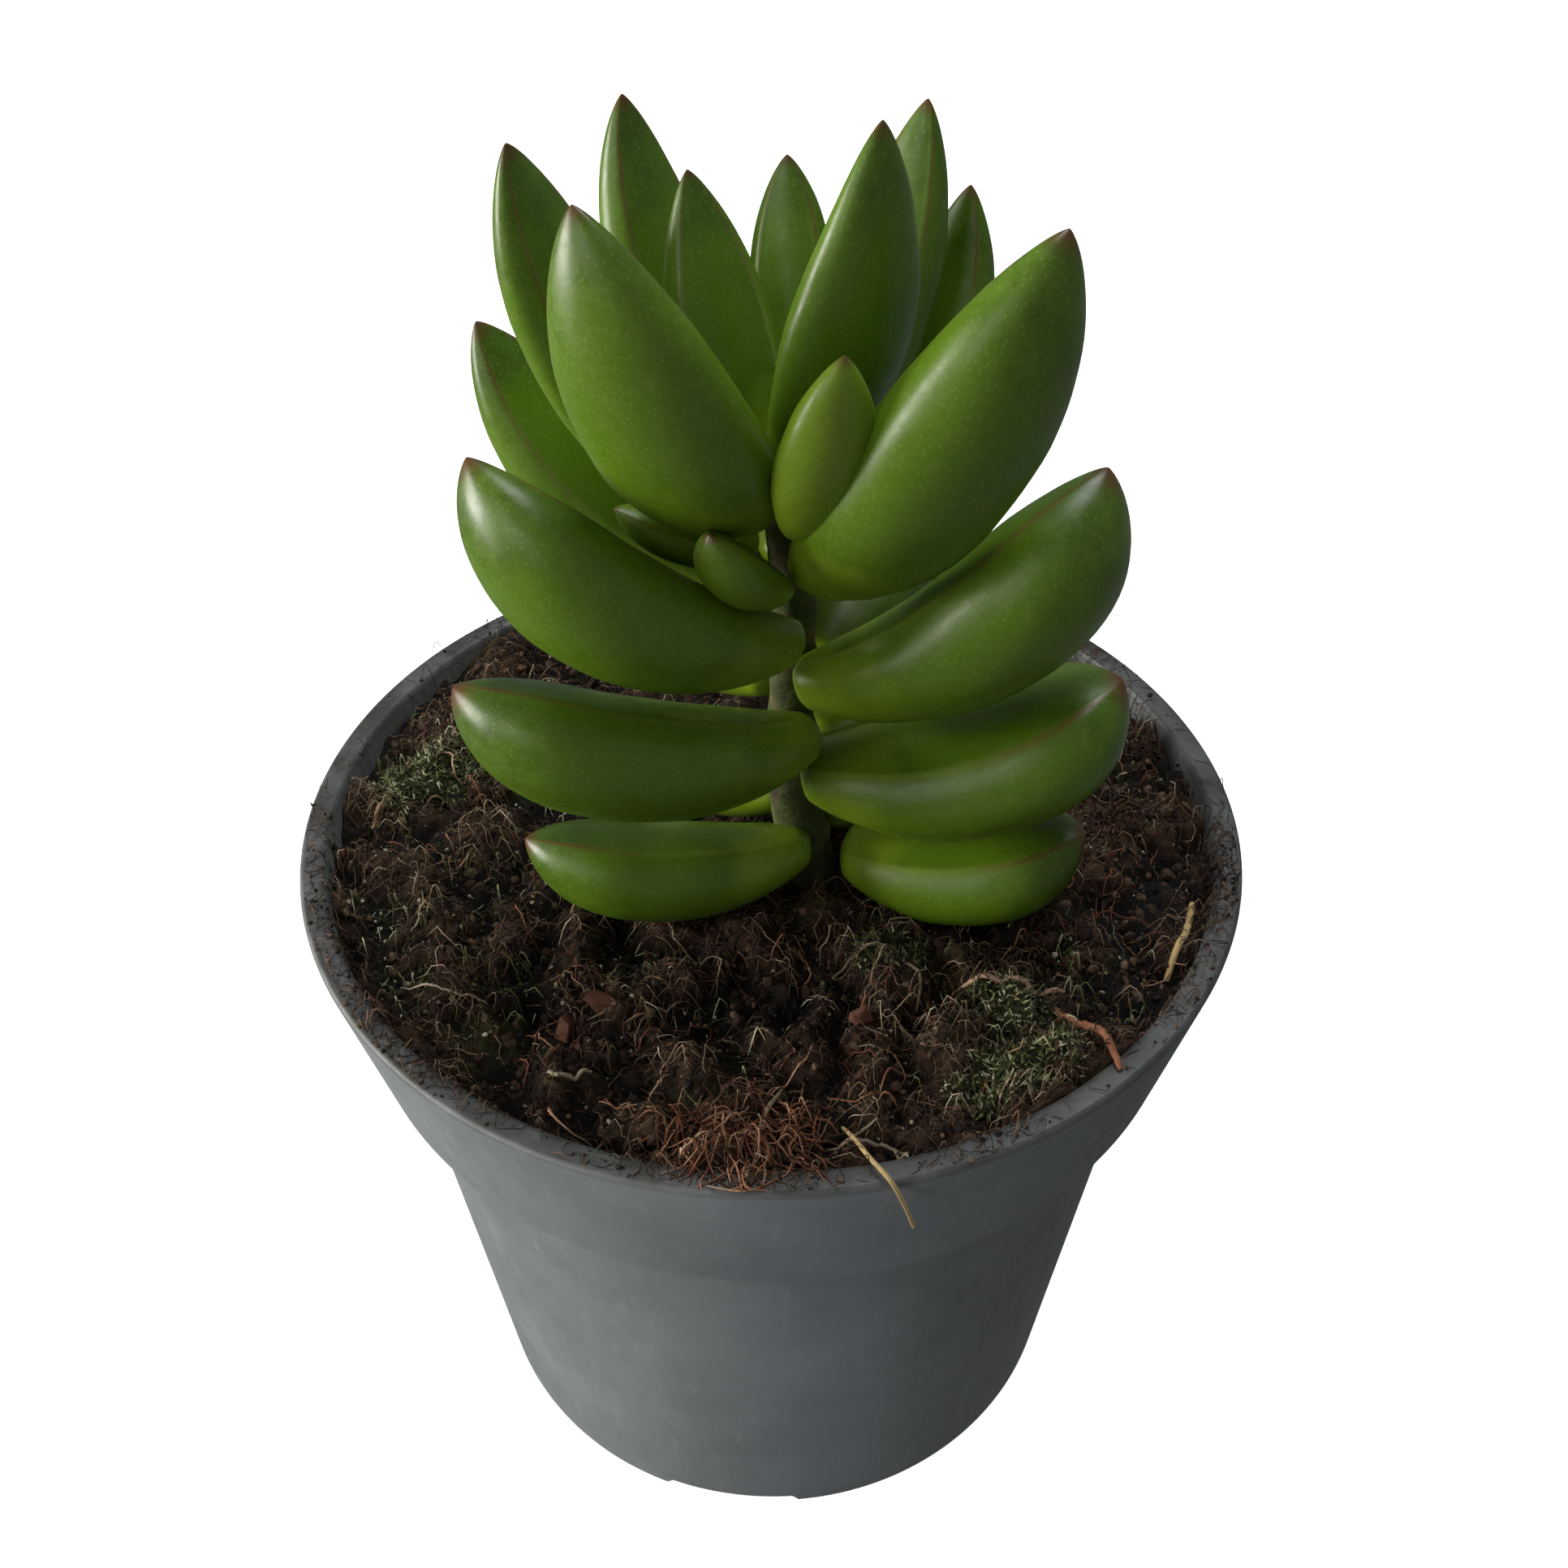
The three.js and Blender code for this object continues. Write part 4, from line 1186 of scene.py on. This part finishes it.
def moss_rule() -> Rule:
    """Write the tree that covers a cushion with small pointed leaflets.

    Returns:
        The rule.
    """
    rule = Rule("moss_leaflets", Density="Float", Radius="Float", Height="Float", Seed="Int")
    add, take = rule.add, rule.take
    spots = add("GeometryNodeDistributePointsOnFaces",
                {"Mesh": take("Geometry"), "Density": take("Density"), "Seed": take("Seed")})
    leaflet = add("GeometryNodeMeshCone", {
        "Vertices": 4, "Radius Top": 0.0, "Radius Bottom": take("Radius"), "Depth": take("Height")})
    tilt = add("FunctionNodeRandomValue", {"Min": (-0.9, -0.9, -3.1), "Max": (0.9, 0.9, 3.1), "Seed": 1},
               data_type="FLOAT_VECTOR")
    loose = add("FunctionNodeEulerToRotation", (tilt,))
    turn = add("FunctionNodeRotateRotation", (spots.outputs["Rotation"], loose), rotation_space="LOCAL")
    size = add("FunctionNodeRandomValue", {"Min": 0.5, "Max": 1.3, "Seed": 2}, data_type="FLOAT")
    tuft = add("GeometryNodeInstanceOnPoints",
               {"Points": spots, "Instance": leaflet, "Rotation": turn, "Scale": size})
    tone = add("FunctionNodeRandomValue", {"Min": 0.0, "Max": 1.0, "Seed": 3}, data_type="FLOAT")
    marked = add("GeometryNodeStoreNamedAttribute", {"Geometry": tuft, "Name": "tone", "Value": tone},
                 domain="INSTANCE")
    both = add("GeometryNodeJoinGeometry", (marked,))
    rule.tree.links.new(take("Geometry"), both.inputs[0])
    rule.close(both, smooth=False)
    return rule


@dataclass(frozen=True)
class CrumbLot:
    """One lot of strewn crumbs: how many a square millimetre, and their sizes in millimetres."""

    name: str
    density: float
    least: float
    most: float
    seed: int
    litter: Litter
    slot: Slot = Slot.PEAT


@dataclass(frozen=True)
class FibreLot:
    """One lot of strewn fibres, in millimetres; density is their number a square millimetre.

    Curl is the size of their curls and coil is how far these swing. Arch is how high the
    springiest stand, and beads is the number of points along each.
    """

    name: str
    density: float
    length: float
    thickness: float
    curl: float
    coil: float
    arch: float
    beads: int
    seed: int
    litter: Litter
    slot: Slot = Slot.PEAT


PEAT_CRUMBS = CrumbLot("peat_crumbs", 0.8, 0.25, 1.7, 11, CRUMB)
LIP_DIRT = CrumbLot("lip_dirt", 2.0, 0.12, 0.8, 5, LIP_CRUMB)
PALE_BITS = CrumbLot("pale_bits", 0.2, 0.15, 0.75, 8, PALE_BIT)
MOSS_SCRAPS = CrumbLot("moss_scraps", 2.4, 0.18, 0.8, 31, MOSS, Slot.MOSS)
LIP_FLUFF = FibreLot("lip_fluff", 2.2, 2.4, 0.05, 1.3, 2.0, 2.4, 6, 41, FIBRE)
DARK_FIBRES = FibreLot("dark_fibres", 1.2, 3.4, 0.06, 1.5, 3.4, 2.6, 5, 3, FIBRE)
TEA_FIBRES = FibreLot("tea_fibres", 1.3, 4.2, 0.045, 1.2, 3.0, 3.4, 7, 14, TEA_FIBRE)
RED_FIBRES = FibreLot("red_fibres", 0.12, 5.0, 0.085, 2.4, 4.4, 3.0, 9, 21, RUST_FIBRE)
MOSS_THREADS = FibreLot("moss_threads", 2.2, 2.2, 0.06, 1.2, 1.6, 3.0, 5, 33, MOSS, Slot.MOSS)


@dataclass(frozen=True)
class Strand:
    """One strand laid along a listed way: its way over the ground and its radius, in millimetres.

    A way's third number is how far it stands above the ground there, or its height over the
    pot's base where it hangs free. The tone runs from 0, dark, to 1, pale, and ends is how
    thick its ends are, as a share.
    """

    way: tuple[Point, ...]
    radius: float
    tone: float = 0.5
    ends: float = 0.5
    hangs: bool = False


RED_ROOTS = (
    Strand(((28.5, -28.8, 0.4), (30.6, -32.1, 0.8), (32.3, -34.2, 1.0), (33.2, -36.3, 0.5),
            (33.6, -38.2, 0)), 0.45, 0.6),
    Strand(((19.4, -26, 0.4), (24.9, -26.2, 1.1), (29.9, -26.3, 0.4)), 0.35, 0.95),
    Strand(((-45.6, 0.5, 0.3), (-44.8, 2.6, 0.6), (-44.2, 4.7, 0.2)), 0.3, 0.9),
)
PALE_ROOTS = (
    Strand(((6.2, -23.8, 0.3), (8.3, -22.2, 0.8), (11.2, -21.5, 1.0), (13.3, -23.3, 0.8),
            (15.1, -25.6, 0.6), (14.6, -28.4, 0.2)), 0.2, 0.5),
    Strand(((11.2, -21.5, 1.0), (10.6, -23.9, 0.6), (10, -26, 0.2)), 0.17, 0.45),
    Strand(((-22, -37.4, 0.3), (-20.8, -38.1, 0.8), (-19.1, -37.6, 1.0), (-17.7, -36.7, 0.4)), 0.24, 0.8),
    Strand(((4.8, -45.4, 0.4), (7.4, -45.7, 0.9), (10.1, -46, 1.0), (12.7, -46.4, 0.4)), 0.2, 0.65),
    Strand(((7.4, -45.7, 0.9), (8.2, -44.3, 0.9), (9.9, -43.2, 0.5)), 0.17, 0.65),
    Strand(((11.2, -46.1, 0.9), (11.9, -47.4, 0.8), (12.4, -48.5, 0.3)), 0.17, 0.65),
    Strand(((1, -38.3, 0.8), (-0.6, -41.8, 1.2), (-1.4, -44.6, 0.9)), 0.26, 0.7),
    Strand(((-38.2, -25.1, 0.3), (-35.1, -26.4, 1.6), (-32.1, -26.9, 1.8), (-29.1, -26.9, 0.4)),
           0.12, 0.9),
    Strand(((-37.8, -11.8, 0.3), (-37.5, -14.5, 1.2), (-38.2, -17.7, 0.3)), 0.12, 0.9),
)
# This straw leans over the front lip and hangs free in front of it.
FRONT_STRAW = Strand(((6.6, -43, 81.8), (7.5, -45.9, 83.9), (8.8, -48.9, 84.9), (10.6, -51.2, 84.5),
                      (12, -51.8, 81.5), (13, -51.9, 78.3)), 0.24, 0.75, 0.7, True)
RIGHT_STRAW = Strand(((45.5, -13.2, 0.2), (43.9, -17.9, 0.5), (41.3, -22.8, 0.2)), 0.4, 0.7, 0.8)


@dataclass(frozen=True)
class Cushion:
    """A moss cushion: its CAD node, its middle and sizes in millimetres, its turn and its seed."""

    node: str
    x: float
    y: float
    length: float
    breadth: float
    rise: float
    turn: float
    seed: int


@dataclass(frozen=True)
class Chip:
    """A chip of bark: its CAD node, its middle and sizes in millimetres, its turn and its seed."""

    node: str
    x: float
    y: float
    size: Point
    turn: float
    seed: int


CUSHIONS = (
    Cushion("moss_left", -39.5, 8, 12, 8, 2, 35, 1),
    Cushion("moss_middle", 12, -21, 8, 5.5, 1.6, -10, 2),
    Cushion("moss_front", 24.5, -28, 7.5, 6, 2, 15, 3),
    Cushion("moss_front_right", 24, -37, 12, 6.5, 2, 30, 4),
)
CHIPS = (
    Chip("bark_chip_left", -21, -31, (3.6, 2.6, 1.9), 65, 4),
    Chip("bark_chip_middle", -17.5, -27.4, (4.2, 2.6, 1.5), -20, 5),
    Chip("bark_chip_right", 8.9, -30, (3.8, 3, 2), 100, 6),
)
# Where small moss grows: the middle of each patch, its reach, and how dense it is.
MOSS_PATCHES = (
    (-44, -13, 4, 0.9), (-31, -24, 6, 0.8), (44, 17, 4, 0.8), (31, -21, 5, 0.5),
    (12, -18, 5, 0.8), (-41, 9, 7, 0.9), (25, -33, 9, 0.9), (-14, -24, 6, 0.4),
    (-4, -33, 6, 0.35), (-34, -6, 6, 0.5), (38, 2, 6, 0.4), (-40, -26, 5, 0.7),
)


def mossy(x: float, y: float) -> float:
    """Return how densely small moss grows at a place, in millimetres; none touches the wall."""
    if math.hypot(x, y) >= 48:
        return 0.0
    patch = sum(much * math.exp(-((x - px) ** 2 + (y - py) ** 2) / reach ** 2)
                for px, py, reach, much in MOSS_PATCHES)
    return patch * (0.6 + 1.6 * noise.noise(Vector((x / 2.5, y / 2.5, 2))))


@dataclass
class GroundCover:
    """What lies on the peat and the lip: crumbs, fibres, roots, moss, chips and straws.

    A spill is where soil fell over the lip: its direction and spread in degrees, and how much.
    A lip row is a radius and the share of the dirt that lies there.
    """

    peat: Peat
    spills: tuple[Point, ...] = (
        (-138, 13, 1.2), (-105, 5, 0.7), (-93, 7, 1.2), (-66, 6, 0.8), (-13, 9, 1.3), (-34, 8, 0.5),
        (-165, 14, 0.5), (40, 10, 0.4), (120, 14, 0.4),
    )
    lip_rows: tuple[tuple[float, float], ...] = (
        (40.0, 0.0), (46.0, 0.0), (48.6, 0.6), (49.7, 1.0), (52.0, 0.8),
    )
    lip_columns: int = 180
    lip_reach: float = 51.7
    moss_reach: float = 47.0
    tuft_strands: int = 120
    tuft_step: float = 1.9
    tuft_front: float = -51.9
    leaflet_density: float = 7.0
    leaflet_radius: float = 0.15
    leaflet_height: float = 0.85
    finishes: dict[str, bpy.types.Material] = field(default_factory=dict)
    crumbs: Rule = field(default_factory=crumb_rule)
    fibres: Rule = field(default_factory=fibre_rule)
    strands: Rule = field(default_factory=strand_rule)
    leaflets: Rule = field(default_factory=moss_rule)

    def finish(self, litter: Litter) -> bpy.types.Material:
        """Return a litter finish's material, made once."""
        if litter.name not in self.finishes:
            self.finishes[litter.name] = litter.material()
        return self.finishes[litter.name]

    def lip_inside(self) -> float:
        """Return the radius at which the lip's flat top begins."""
        return self.peat.wall.lip_radius - self.peat.wall.lip_width

    def ground(self, x: float, y: float) -> float:
        """Return the height of what carries a strand: the peat, or the lip's flat top."""
        past = math.hypot(x, y) - self.lip_inside() + 0.9
        if past < 0:
            return self.peat.height(x, y)
        share = min(1.0, past / 1.2)
        return self.peat.height(x, y) * (1 - share) + self.peat.wall.height * share

    def sheet(self, cells: int, room: Room) -> bpy.types.Mesh:
        """Make an open sheet on the peat's surface that carries the room attribute.

        Args:
            cells: The number of quads along its side.
            room: How densely a place may be strewn, from 0 to 1.

        Returns:
            The sheet.
        """
        flat = disc_grid(cells, self.peat.wall.inner_radius(self.peat.level) - 0.2)
        points = [(x, y, self.peat.height(x, y)) for x, y in flat]
        rooms = [max(0.0, room(x, y)) for x, y in flat]
        return new_mesh("ground", points, grid_faces(cells), room=rooms)

    def lip_sheet(self) -> bpy.types.Mesh:
        """Make a ring on the lip that is dirtiest where soil was spilt over it.

        Returns:
            The ring.
        """
        points, faces, rooms = [], [], []
        columns, rows = self.lip_columns, len(self.lip_rows)
        for k in range(columns):
            degrees = 360 * k / columns
            room = 0.06
            for middle, spread, much in self.spills:
                away = (degrees - middle + 180) % 360 - 180
                room += much * math.exp(-(away / spread) ** 2)
            turn = math.radians(degrees)
            for radius, share in self.lip_rows:
                x, y = radius * math.cos(turn), radius * math.sin(turn)
                on_lip = radius > self.lip_inside()
                points.append((x, y, self.peat.wall.height + 0.05 if on_lip else self.peat.height(x, y)))
                rooms.append(room * share)
        for k in range(columns):
            for row in range(rows - 1):
                a, b = rows * k + row, rows * ((k + 1) % columns) + row
                faces.append((a, a + 1, b + 1, b))
        return new_mesh("lip_ring", points, faces, room=rooms)

    def clearing(self, radius: float) -> Room:
        """Return a room function that is one inside a radius and nothing outside it."""
        return lambda x, y: 1.0 if math.hypot(x, y) < radius else 0.0

    def patches(self, base: float, clods: float, swing: float, size: float, layer: float) -> Room:
        """Make a room function that changes in patches and may favour the tops of the clods.

        Args:
            base: The room everywhere.
            clods: How much a clod's height counts.
            swing: How much the patches count.
            size: The size of the patches, in millimetres.
            layer: Which slice of the noise makes them.

        Returns:
            The room function.
        """
        def room(x: float, y: float) -> float:
            """Return the room at one place."""
            top = 0.45 * (self.peat.height(x, y) - self.peat.level) - 0.1
            return base + clods * top + swing * noise.noise(Vector((x / size, y / size, layer)))

        return room

    def strew_crumbs(self, lot: CrumbLot, ground: bpy.types.Mesh) -> None:
        """Strew one lot of crumbs over a sheet of ground."""
        piece = self.crumbs.run(
            lot.name, ground, Density=lot.density * PER_MM2, Least=lot.least * MM,
            Most=lot.most * MM, Seed=lot.seed, Finish=self.finish(lot.litter))
        settle(piece, lot.slot)

    def strew_fibres(self, lot: FibreLot, ground: bpy.types.Mesh, reach: float) -> None:
        """Strew one lot of fibres over a sheet of ground.

        Args:
            lot: The fibres.
            ground: The sheet.
            reach: The radius that no fibre passes, in millimetres.
        """
        piece = self.fibres.run(
            lot.name, ground, Density=lot.density * PER_MM2, Length=lot.length * MM,
            Thickness=lot.thickness * MM, Curl=lot.curl * MM, Coil=lot.coil * MM, Arch=lot.arch * MM,
            Reach=reach * MM, Beads=lot.beads, Seed=lot.seed, Finish=self.finish(lot.litter))
        settle(piece, lot.slot)

    def strew(self) -> None:
        """Strew the crumbs and the fibres that lie everywhere."""
        inside = self.peat.wall.inner_radius(self.peat.level) - 0.5
        self.strew_crumbs(PEAT_CRUMBS, self.sheet(120, self.clearing(inside - 0.6)))
        self.strew_crumbs(LIP_DIRT, self.lip_sheet())
        self.strew_fibres(LIP_FLUFF, self.lip_sheet(), self.lip_reach)
        self.strew_crumbs(PALE_BITS, self.sheet(60, self.clearing(inside - 1.5)))
        for lot, room in (
            (DARK_FIBRES, self.patches(0.45, 1.0, 0.8, 6, 4)),
            (TEA_FIBRES, self.patches(0.25, 1.0, 1.2, 7, 9)),
            (RED_FIBRES, self.patches(0.4, 0.0, 1.0, 8, 7)),
        ):
            self.strew_fibres(lot, self.sheet(120, room), inside)

    def lay(self, name: str, strands: Sequence[Strand], litter: Litter, slot: Slot, *nodes: str,
            sides: int = 6) -> None:
        """Lay listed strands as one piece.

        Args:
            name: The piece's name.
            strands: The strands.
            litter: Their finish.
            slot: The record's material slot.
            *nodes: The CAD nodes that the piece stands for.
            sides: The number of a strand's sides.
        """
        points, edges, gauges, tones = [], [], [], []
        for strand in strands:
            path = smooth_path(strand.way, 6)
            start = len(points)
            for i, spot in enumerate(path):
                share = i / (len(path) - 1)
                below = 0.0 if strand.hangs else self.ground(spot.x, spot.y) + strand.radius * 0.6
                points.append((spot.x, spot.y, below + spot.z))
                fullness = strand.ends + (1 - strand.ends) * math.sin(math.pi * share) ** 0.5
                gauges.append(strand.radius * fullness * MM)
                tones.append(strand.tone)
            edges += [(k, k + 1) for k in range(start, len(points) - 1)]
        mesh = new_mesh(name, points, edges=edges, gauge=gauges, tone=tones)
        settle(self.strands.run(name, mesh, Sides=sides, Finish=self.finish(litter)), slot, *nodes)

    def tuft(self) -> list[Strand]:
        """Grow the tuft of rust-red roots that lies over the front lip.

        Returns:
            Its strands.
        """
        draw = random.Random(17)
        strands = []
        for _ in range(self.tuft_strands):
            x, y = draw.gauss(-3, 3.2), draw.uniform(-47, -38)
            heading = draw.gauss(-math.pi / 2, 0.7)
            way = [(x, y, draw.uniform(0, 1.6))]
            for _ in range(draw.randint(3, 5)):
                heading += draw.gauss(0, 0.55)
                x += self.tuft_step * math.cos(heading)
                y = max(y + self.tuft_step * math.sin(heading), self.tuft_front)
                way.append((x, y, draw.uniform(0, 1.9) if y > -49 else draw.uniform(0.0, 0.35)))
            strands.append(Strand(tuple(way), draw.uniform(0.05, 0.12), draw.uniform(0.1, 0.95), 0.35))
        return strands

    def roots(self) -> None:
        """Lay the tuft, the single roots and the straws that stand out."""
        self.lay("rust_tuft", self.tuft(), RUST_FIBRE, Slot.PEAT, sides=5)
        self.lay("red_roots", RED_ROOTS, RUST_FIBRE, Slot.PEAT)
        self.lay("pale_roots", PALE_ROOTS, PALE_ROOT, Slot.STRAW)
        self.lay("straw_front.stalk", (FRONT_STRAW,), STRAW, Slot.STRAW, "straw_front", sides=8)
        self.lay("straw_right.stalk", (RIGHT_STRAW,), STRAW, Slot.STRAW, "straw_right", sides=8)

    def cushion(self, moss: Cushion) -> None:
        """Set a moss cushion on the peat: a lumpy mound, covered with leaflets.

        Args:
            moss: The cushion.
        """
        work = bmesh.new()
        bmesh.ops.create_icosphere(work, subdivisions=4, radius=1.0)
        spin = Matrix.Rotation(math.radians(moss.turn), 3, "Z")
        for vertex in work.verts:
            ball = vertex.co.copy()
            lump = 1 + 0.75 * noise.noise(ball * 2.0 + Vector((moss.seed, 0, 0)))
            flat = spin @ Vector((ball.x * moss.length / 2 * lump, ball.y * moss.breadth / 2 * lump, 0))
            ground = self.peat.height(moss.x + flat.x, moss.y + flat.y)
            crown = moss.rise * 0.6 * ball.z * lump if ball.z > 0 else ball.z * 0.6
            vertex.co = Vector((moss.x + flat.x, moss.y + flat.y, ground + crown)) * MM
        mesh = bpy.data.meshes.new(moss.node)
        work.to_mesh(mesh)
        work.free()
        tone = mesh.attributes.new("tone", "FLOAT", "POINT")
        tone.data.foreach_set("value", [0.1] * len(mesh.vertices))
        piece = self.leaflets.run(
            moss.node + ".cushion", mesh, Density=self.leaflet_density * PER_MM2,
            Radius=self.leaflet_radius * MM, Height=self.leaflet_height * MM, Seed=moss.seed,
            Finish=self.finish(MOSS))
        settle(piece, Slot.MOSS, moss.node)

    def moss(self) -> None:
        """Set the moss cushions and strew the small scraps and threads of moss."""
        for moss in CUSHIONS:
            self.cushion(moss)
        self.strew_crumbs(MOSS_SCRAPS, self.sheet(90, mossy))
        self.strew_fibres(MOSS_THREADS, self.sheet(90, mossy), self.moss_reach)

    def chip(self, chip: Chip) -> None:
        """Set a broken chip of bark on the peat: a hull round random corners, with worn edges.

        Args:
            chip: The chip.
        """
        draw = random.Random(chip.seed)
        length, breadth, height = chip.size
        work = bmesh.new()
        for _ in range(16):
            corner = Vector((draw.uniform(-1, 1), draw.uniform(-1, 1), draw.uniform(-0.4, 1)))
            if corner.length > 1:
                corner.normalize()
            work.verts.new(Vector((corner.x * length / 2, corner.y * breadth / 2, corner.z * height)) * MM)
        hull = bmesh.ops.convex_hull(work, input=work.verts)
        buried = [v for v in hull["geom_interior"] if isinstance(v, bmesh.types.BMVert)]
        bmesh.ops.delete(work, geom=buried, context="VERTS")
        bmesh.ops.bevel(work, geom=work.edges[:], offset=0.12 * MM, segments=2, affect="EDGES",
                        profile=0.5)
        bmesh.ops.recalc_face_normals(work, faces=work.faces)
        spot = Matrix.Translation(Vector((chip.x, chip.y, self.peat.height(chip.x, chip.y))) * MM)
        turn = Matrix.Rotation(math.radians(chip.turn), 4, "Z")
        bmesh.ops.transform(work, matrix=spot @ turn, verts=work.verts)
        name = chip.node + ".chip"
        mesh = bpy.data.meshes.new(name)
        work.to_mesh(mesh)
        work.free()
        tone = mesh.attributes.new("tone", "FLOAT", "POINT")
        tone.data.foreach_set("value", [draw.uniform(0.4, 0.7)] * len(mesh.vertices))
        mesh.materials.append(self.finish(BARK))
        settle(put(name, mesh), Slot.BARK, chip.node)

    def build(self) -> None:
        """Build everything that lies on the peat."""
        self.strew()
        self.roots()
        self.moss()
        for chip in CHIPS:
            self.chip(chip)


@dataclass(frozen=True)
class Lamp:
    """A square area light: where it stands and points, in metres, its watts and its colour."""

    name: str
    place: Point
    target: Point
    watts: float
    tint: str
    side: float = 0.5

    def build(self) -> bpy.types.Object:
        """Hang the light and return its object."""
        lamp = bpy.data.lights.new(self.name, "AREA")
        lamp.size, lamp.energy, lamp.color = self.side, self.watts, linear(self.tint)[:3]
        holder = put(self.name, lamp)
        holder.location = self.place
        aim = Vector(self.target) - Vector(self.place)
        holder.rotation_euler = aim.to_track_quat("-Z", "Y").to_euler()
        return holder


@dataclass
class Studio:
    """The floor, the lights and the camera, which stands where the photograph's did.

    The camera's place and the floor's reach are in millimetres, and its turns in degrees. Its
    focal length is in pixels of the photograph.
    """

    camera_place: Point = (0.0, -149.6, 216.8)
    looks_down: float = 40.7
    looks_right: float = 0.54
    focal: float = 2180.0
    floor_reach: float = 20000.0
    air_strength: float = 0.17
    table_sun: float = 3.0
    lamps: tuple[Lamp, ...] = (
        Lamp("window", (-0.99, -0.03, 0.26), (0, 0, 0.11), 14.0, "#fffaf2"),
        Lamp("skylight", (0.12, 0.3, 1.05), (0, 0, 0.11), 6.5, "#f8fafc"),
        Lamp("room", (-0.6, -0.6, 0.65), (0, 0, 0.11), 1.8, "#f8f6f2"),
    )
    bounce: Lamp = Lamp("table_bounce", (-0.8, -0.6, 0.1), (0, 0, 0.05), 8.0, "#f4f6fa")

    def camera(self) -> None:
        """Stand the camera where the photograph's was."""
        lens = bpy.data.cameras.new("camera")
        lens.sensor_width = SENSOR
        lens.lens = self.focal / IMAGE_SIDE * SENSOR
        lens.clip_start = 0.01
        camera = put("camera", lens)
        camera.location = Vector(self.camera_place) * MM
        tilt, turn = math.radians(90 - self.looks_down), -math.radians(self.looks_right)
        camera.rotation_euler = Euler((tilt, 0, turn))
        bpy.context.scene.camera = camera

    def floor(self) -> bpy.types.Object:
        """Lay a pale floor that throws no light on the pot, and return it.

        Returns:
            The floor's object.
        """
        material, _, shader = new_material("matte_white_card")
        shader.inputs["Base Color"].default_value = linear("#f8f8f7")
        shader.inputs["Roughness"].default_value = 0.9
        r = self.floor_reach
        mesh = new_mesh("floor", [(-r, -r, 0), (r, -r, 0), (r, r, 0), (-r, r, 0)], [(0, 1, 2, 3)])
        mesh.materials.append(material)
        floor = put("floor", mesh)
        floor.visible_diffuse = False
        floor.visible_glossy = False
        return floor

    def backdrop(self) -> None:
        """Stand pale walls round the table at the floor's edge, which throw no light or shadow."""
        r = self.floor_reach
        corners = [(-r, -r), (r, -r), (r, r), (-r, r)]
        points = [(x, y, z) for z in (0, r) for x, y in corners]
        faces = [(k, k + 4, (k + 1) % 4 + 4, (k + 1) % 4) for k in range(4)]
        mesh = new_mesh("backdrop", points, faces)
        material, _, shader = new_material("lit_white_paper")
        shader.inputs["Base Color"].default_value = linear("#000000")
        shader.inputs["Specular IOR Level"].default_value = 0.0
        shader.inputs["Emission Color"].default_value = linear("#fbfbfa")
        shader.inputs["Emission Strength"].default_value = 1.0
        mesh.materials.append(material)
        walls = put("backdrop", mesh)
        walls.visible_diffuse = walls.visible_glossy = False
        walls.visible_transmission = walls.visible_shadow = False

    def build(self) -> None:
        """Set the stage, the lights and the camera."""
        scene = bpy.context.scene
        scene.view_settings.view_transform = "Standard"
        self.camera()
        floor = self.floor()
        self.backdrop()
        world = bpy.data.worlds.new("studio_air")
        world.use_nodes = True
        air = world.node_tree.nodes["Background"]
        air.inputs["Color"].default_value = linear("#f3f6fa")
        air.inputs["Strength"].default_value = self.air_strength
        scene.world = world
        for lamp in self.lamps:
            lamp.build()
        # The table is lit evenly by a lamp of its own, so that it stays pale under a low window.
        sun = bpy.data.lights.new("table_light", "SUN")
        sun.energy = self.table_sun
        holder = put("table_light", sun)
        table = bpy.data.collections.new("table_only")
        table.objects.link(floor)
        holder.light_linking.receiver_collection = table
        holder.light_linking.blocker_collection = table
        # What the table and the room throw back reaches the pot's wall from below.
        pots = bpy.data.collections.new("pot_only")
        pots.objects.link(bpy.data.objects["pot.moulding"])
        self.bounce.build().light_linking.receiver_collection = pots


def main() -> None:
    """Build the whole scene round the frame."""
    logging.basicConfig(level=logging.INFO, format="%(message)s")
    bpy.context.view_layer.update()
    wall = Pot()
    wall.build()
    Studio().build()
    peat = Peat(wall)
    peat.build()
    GroundCover(peat).build()
    Stem().build()
    Foliage().build()


if __name__ == "__main__":
    main()
